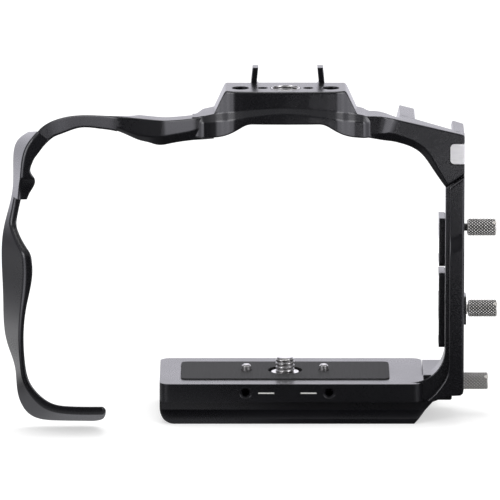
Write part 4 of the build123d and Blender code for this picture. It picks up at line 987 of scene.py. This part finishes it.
top_z = height_at(top_x, arch_top)
under_z = height_at(under_x, arch_under)
crease_z = rounded(np.interp(under_x, arch_crease[::-1, 0], arch_crease[::-1, 1]), 9)
past_crease = under_x < arch_crease[-1, 0]
crease_z = np.where(past_crease, under_z + 0.5, np.maximum(crease_z, under_z + 0.4))
crease_x = under_x + (top_x - under_x) * 0.25
top_front = rounded(np.interp(top_x, arch_plan_x, arch_plan_y), 9)
under_front = rounded(np.interp(under_x, arch_plan_x, arch_plan_y), 9)
bevel = np.clip((crease_z - under_z) / 1.6, 0.25, 1) * 1.5
slim = np.clip((SLIM_X - top_x) / SLIM_RUN, 0, 1)
top_deep = np.interp(-top_x, [36.7, 38.7, 40.7, 42.7, 44.7, 47.3, 50.0], [7.0, 5.2, 4.0, 3.2, 2.4, 1.5, 1.2])
arch_corners = rings_through(
    points_at(top_x, top_front, top_z),
    points_at(crease_x, under_front, crease_z),
    points_at(under_x, under_front + bevel, under_z),
    points_at(under_x, under_front + ARCH_DEPTH, under_z),
    points_at(top_x, top_front + ARCH_DEPTH, top_z - 0.7 - 1.6 * slim),
    points_at(top_x, top_front + top_deep, top_z - 0.1 - 0.35 * slim),
)
arch_cuts = np.outer(slim, [0.9, 0.0, 0.0, 0.0, 1.0, 1.0]) + [0.45, 0.4, 0.4, 0.6, 0.5, 0.5]
milled("grip_arch_dressed", soften(arch_corners, arch_cuts), ["grip_arch"])

# ---------------------------------------------------------------- cable clamp
# A bracket screwed to the side block, with three slots for the cables' plugs, and two jaw plates
# behind it, each with a rubber pad and a guide pin. All are milled aluminium, anodised black.
finish_nodes(black_anodised, "clamp_bracket", "upper_jaw", "lower_jaw")
finish_nodes(rubber("jaw_rubber"), "upper_jaw_pad", "lower_jaw_pad")

# ---------------------------------------------------------------- thumbscrews
# Three turned steel screws with diamond-knurled heads and a screwdriver slot, nickel-plated.
# The upper two close the jaws and the lowest holds the bracket. Thin clips keep them in place.
CLAMP_Y = 6.7
SCREW_R = 1.25
SCREW_PITCH = 0.45
CLIP_GROOVE = (66.95, 67.55)
COLLAR_R = 2.0
HEAD_R = 2.9
HEAD_L = 9.8
KNURLS = 16
KNURL_LONG = 1.12
KNURL_DEEP = 0.36
SLOT_HALF = 0.5
SLOT_DEEP = 1.2
SLOT_TURN = math.radians(-44)
knurled_steel = turned_steel("knurled_steel", (1.00, 0.98, 0.95), 0.18, 6000.0, 0.35)
round_turn = np.linspace(0, 2 * math.pi, 150, endpoint=False)[None, :]
around_share = round_turn / (2 * math.pi)
square = np.array([(-1, -1), (1, -1), (1, 1), (-1, 1)])
slot_section = square * (HEAD_R + 1, SLOT_HALF) @ axes_at(SLOT_TURN)
for name, body, z, seat_x, head_x, tip_x in (
    ("upper_thumbscrew", "upper_screw", 63.7, 70.6, 72.8, 63.6),
    ("lower_thumbscrew", "lower_screw", 35.9, 72.5, 73.2, 63.6),
    ("fixing_thumbscrew", "fixing_screw", 10.9, 69.6, 70.3, 62.2),
):
    profile = divide(
        [
            (tip_x, SCREW_R - 0.3), (tip_x + 0.3, SCREW_R), (CLIP_GROOVE[0], SCREW_R),
            (CLIP_GROOVE[0], SCREW_R - 0.35), (CLIP_GROOVE[1], SCREW_R - 0.35),
            (CLIP_GROOVE[1], SCREW_R), (seat_x + 0.05, SCREW_R), (seat_x + 0.05, COLLAR_R),
            (seat_x + 0.45, COLLAR_R), (seat_x + 0.45, SCREW_R), (head_x, SCREW_R),
            (head_x, HEAD_R - 0.5), (head_x + 0.45, HEAD_R), (head_x + HEAD_L - 0.45, HEAD_R),
            (head_x + HEAD_L, HEAD_R - 0.5),
        ],
        0.075,
    )
    x = profile[:, :1]
    r = profile[:, 1:]
    threads = (r > SCREW_R - 0.02) & (r < SCREW_R + 0.02) & (x > tip_x + 0.3) & (x < seat_x)
    thread = threads * (1 - triangle(x / SCREW_PITCH - around_share))
    reach = np.clip((x - head_x - 0.25) / 0.3, 0, 1) * np.clip((head_x + HEAD_L - 0.25 - x) / 0.3, 0, 1)
    along_head = (x - head_x) / KNURL_LONG
    around = around_share * KNURLS
    diamond = np.minimum(triangle(around + along_head), triangle(around - along_head))
    knurl = reach * (1 - np.clip(diamond * 1.3, 0, 1))
    neck = (x > seat_x + 0.5) & (x < head_x + 0.05) & (r < COLLAR_R)
    r = r - 0.12 * thread - KNURL_DEEP * knurl
    screw = skin(
        name + "_dressed",
        points_at(x, CLAMP_Y + r * np.cos(round_turn), z + r * np.sin(round_turn)),
        knurled_steel,
        body,
        [name],
        # painted shade: knurl valleys, thread grooves and the plain neck are darkened through the cut mark
        cut=np.clip(2.7 * knurl - 0.6 + 1.1 * thread + 1.6 * neck, 0, 1),
    )
    slot_ends = (head_x + HEAD_L - SLOT_DEEP, head_x + HEAD_L + 1)
    slot_corners = slot_section + (CLAMP_Y, z)
    slot_rings = [np.column_stack([np.full(4, slot_x), slot_corners]) for slot_x in slot_ends]
    carve(screw, skin("driver_slot", slot_rings, knurled_steel, body))
finish_nodes(bright_steel, "upper_screw_clip", "lower_screw_clip", "fixing_screw_clip")

# ---------------------------------------------------------------- table and light
# A white table that runs out of sight under a white wall of light and keeps the cage's shadow. In its
# reflections the cage finds the dark of the room in front of it and tall lit panels on both sides. Seen
# in reflections only, the table glows with a painted reflection: the same panels set by place, dark near
# the cage's front, pale behind it, and two painted bright patches, before the grip and before the port side.
TABLE_HALF = 9.0
TABLE_Z = -0.00005
REFLECTED = 2.5
table_mesh = bpy.data.meshes.new("table_top")
table_corners = np.column_stack([square * TABLE_HALF, np.full(4, TABLE_Z)])
table_mesh.from_pydata(table_corners.tolist(), [], [(0, 1, 2, 3)])
table = put_in("table_top", table_mesh)
white_table = bpy.data.materials.new("white_table")
tree = Finish(white_table)


def seen_directly(tree):
    """1 for what the camera sees itself, and 1 for what it sees in a reflection or through glass."""
    kinds = ("Is Camera Ray", "Is Glossy Ray", "Is Transmission Ray")
    camera, glossy, through = (tree.add("ShaderNodeLightPath", out=kind) for kind in kinds)
    return camera, glossy + through


def round_about(tree, direction):
    """The light that a reflection finds this way: dark in front, tall panels beside it."""
    level = tree.add("ShaderNodeVectorMath", {"operation": "MULTIPLY"}, {0: direction, 1: (1, 1, 0)})
    level = tree.add("ShaderNodeVectorMath", {"operation": "NORMALIZE"}, {0: level})
    depth = tree.add("ShaderNodeSeparateXYZ", None, {0: level}, "Y")
    tones = (
        (0.045, 0.02), (0.115, 0.95), (0.26, 1.00), (0.40, 0.20), (0.65, 0.06), (0.79, 0.08),
        (0.86, 0.28), (0.905, 0.46), (0.945, 0.60),
    )
    between = [(place, (tone * 1.01, tone, tone * 1.10, 1)) for place, tone in tones]
    stops = [(0.0, (0.012, 0.012, 0.013, 1)), *between, (1.0, (0.66, 0.65, 0.71, 1))]
    return tree.add("ShaderNodeValToRGB", {"stops": stops}, {"Fac": depth * 0.5 + 0.5})


def rise(tree, value, low, high):
    """0 at the low value and 1 at the high one, smoothly between them."""
    values = {"Value": value, "From Min": low, "From Max": high}
    return tree.add("ShaderNodeMapRange", {"interpolation_type": "SMOOTHSTEP"}, values)


def patch(tree, spot, middle, reach, core):
    """1 within the core round a place on the table, and 0 beyond the reach."""
    way = tree.add("ShaderNodeVectorMath", {"operation": "DISTANCE"}, {0: spot, 1: middle}, "Value")
    return rise(tree, way, reach, core)


straight, mirrored = seen_directly(tree)
spot = tree.add("ShaderNodeNewGeometry", out="Position")
plain = tree.add("ShaderNodeBsdfDiffuse", None, {"Color": (0.8, 0.8, 0.8, 1)})
matt = tree.add("ShaderNodeBsdfDiffuse", None, {"Color": (0.62, 0.62, 0.62, 1)})
glow = tree.add("ShaderNodeEmission", None, {"Color": (1, 1, 1, 1), "Strength": 0.5})
bright = tree.add("ShaderNodeAddShader", None, {0: matt, 1: glow})
spot_y = tree.add("ShaderNodeSeparateXYZ", None, {0: spot}, "Y")
rear = rise(tree, spot_y, 0.01, 0.10)
grip_side = patch(tree, spot, (-0.045, -0.005, 0), 0.07, 0.03)
port_side = patch(tree, spot, (0.12, -0.42, 0), 0.085, 0.03)
near_cage = patch(tree, spot, (0, 0, 0), 0.36, 0.16)
# painted reflection near the cage: dark in front, a lighter patch before the grip, pale behind
under = tree.blend(grip_side, (0.015, 0.015, 0.016, 1), (0.16, 0.16, 0.17, 1))
under = tree.blend(rear, under, (0.42, 0.42, 0.43, 1))
painted_reflection = tree.blend(near_cage, round_about(tree, spot), under)
# a painted glowing patch before the port side, seen only in reflections
painted_reflection = tree.blend(port_side, painted_reflection, (2.20, 2.18, 2.32, 1))
painted_reflection_glow = tree.add("ShaderNodeEmission", None, {"Color": painted_reflection, "Strength": REFLECTED})
surface = tree.add("ShaderNodeMixShader", None, {0: straight, 1: plain, 2: bright})
surface = tree.add("ShaderNodeMixShader", None, {0: mirrored, 1: surface, 2: painted_reflection_glow})
tree.add("ShaderNodeOutputMaterial", None, {"Surface": surface})
table_mesh.materials.append(white_table)

room = bpy.data.worlds.new("room")
bpy.context.scene.world = room
tree = Finish(room)
way = tree.add("ShaderNodeTexCoord", out="Generated")
way_z = tree.add("ShaderNodeSeparateXYZ", None, {0: way}, "Z")
above = rise(tree, way_z, 0.3, 0.8)
soft = tree.blend(above, (0.45, 0.45, 0.45, 1), (1, 1, 1, 1))
panels = tree.blend(above, round_about(tree, way), (0.15, 0.15, 0.16, 1))
straight, mirrored = seen_directly(tree)
lit = tree.add("ShaderNodeBackground", None, {"Color": soft})
wall = tree.add("ShaderNodeBackground", None, {"Color": (1, 1, 1, 1)})
seen = tree.add("ShaderNodeBackground", None, {"Color": panels, "Strength": REFLECTED})
surface = tree.add("ShaderNodeMixShader", None, {0: straight, 1: lit, 2: wall})
surface = tree.add("ShaderNodeMixShader", None, {0: mirrored, 1: surface, 2: seen})
tree.add("ShaderNodeOutputWorld", None, {"Surface": surface})

LAMPS_AIM = mathutils.Vector((0, 0, 0.06))
for name, place, width, length, power in (
    ("lamp_left", (-0.90, -0.80, 0.45), 0.45, 0.9, 4.5),
    ("lamp_right", (0.90, -0.80, 0.45), 0.45, 0.9, 4.0),
    ("lamp_above", (0.0, 0.3, 1.5), 0.8, 0.8, 6.0),
):
    lamp = bpy.data.lights.new(name, "AREA")
    lamp.shape = "RECTANGLE"
    lamp.size = width
    lamp.size_y = length
    lamp.energy = power
    lamp_object = put_in(name, lamp)
    lamp_object.location = place
    toward = LAMPS_AIM - lamp_object.location
    lamp_object.rotation_euler = toward.to_track_quat("-Z", "Y").to_euler()

# ---------------------------------------------------------------- camera
# A long lens from three metres away and 12 degrees above the table, aimed at the middle of the cage.
VIEW_ANGLE = math.radians(12)
VIEW_FROM = 3.0
VIEW_WIDE = 1 / 6
aim = mathutils.Vector((0.0, -0.0115, 0.0597))
camera_data = bpy.data.cameras.new("camera")
camera_data.sensor_width = 36
camera_data.lens = camera_data.sensor_width * VIEW_FROM / VIEW_WIDE
camera_data.clip_start = 0.1
camera_data.clip_end = 60
camera = put_in("camera", camera_data)
camera.location = aim + mathutils.Vector((0, -math.cos(VIEW_ANGLE), math.sin(VIEW_ANGLE))) * VIEW_FROM
camera.rotation_euler = (math.pi / 2 - VIEW_ANGLE, 0, 0)
bpy.context.scene.camera = camera
bpy.context.scene.view_settings.view_transform = "Standard"
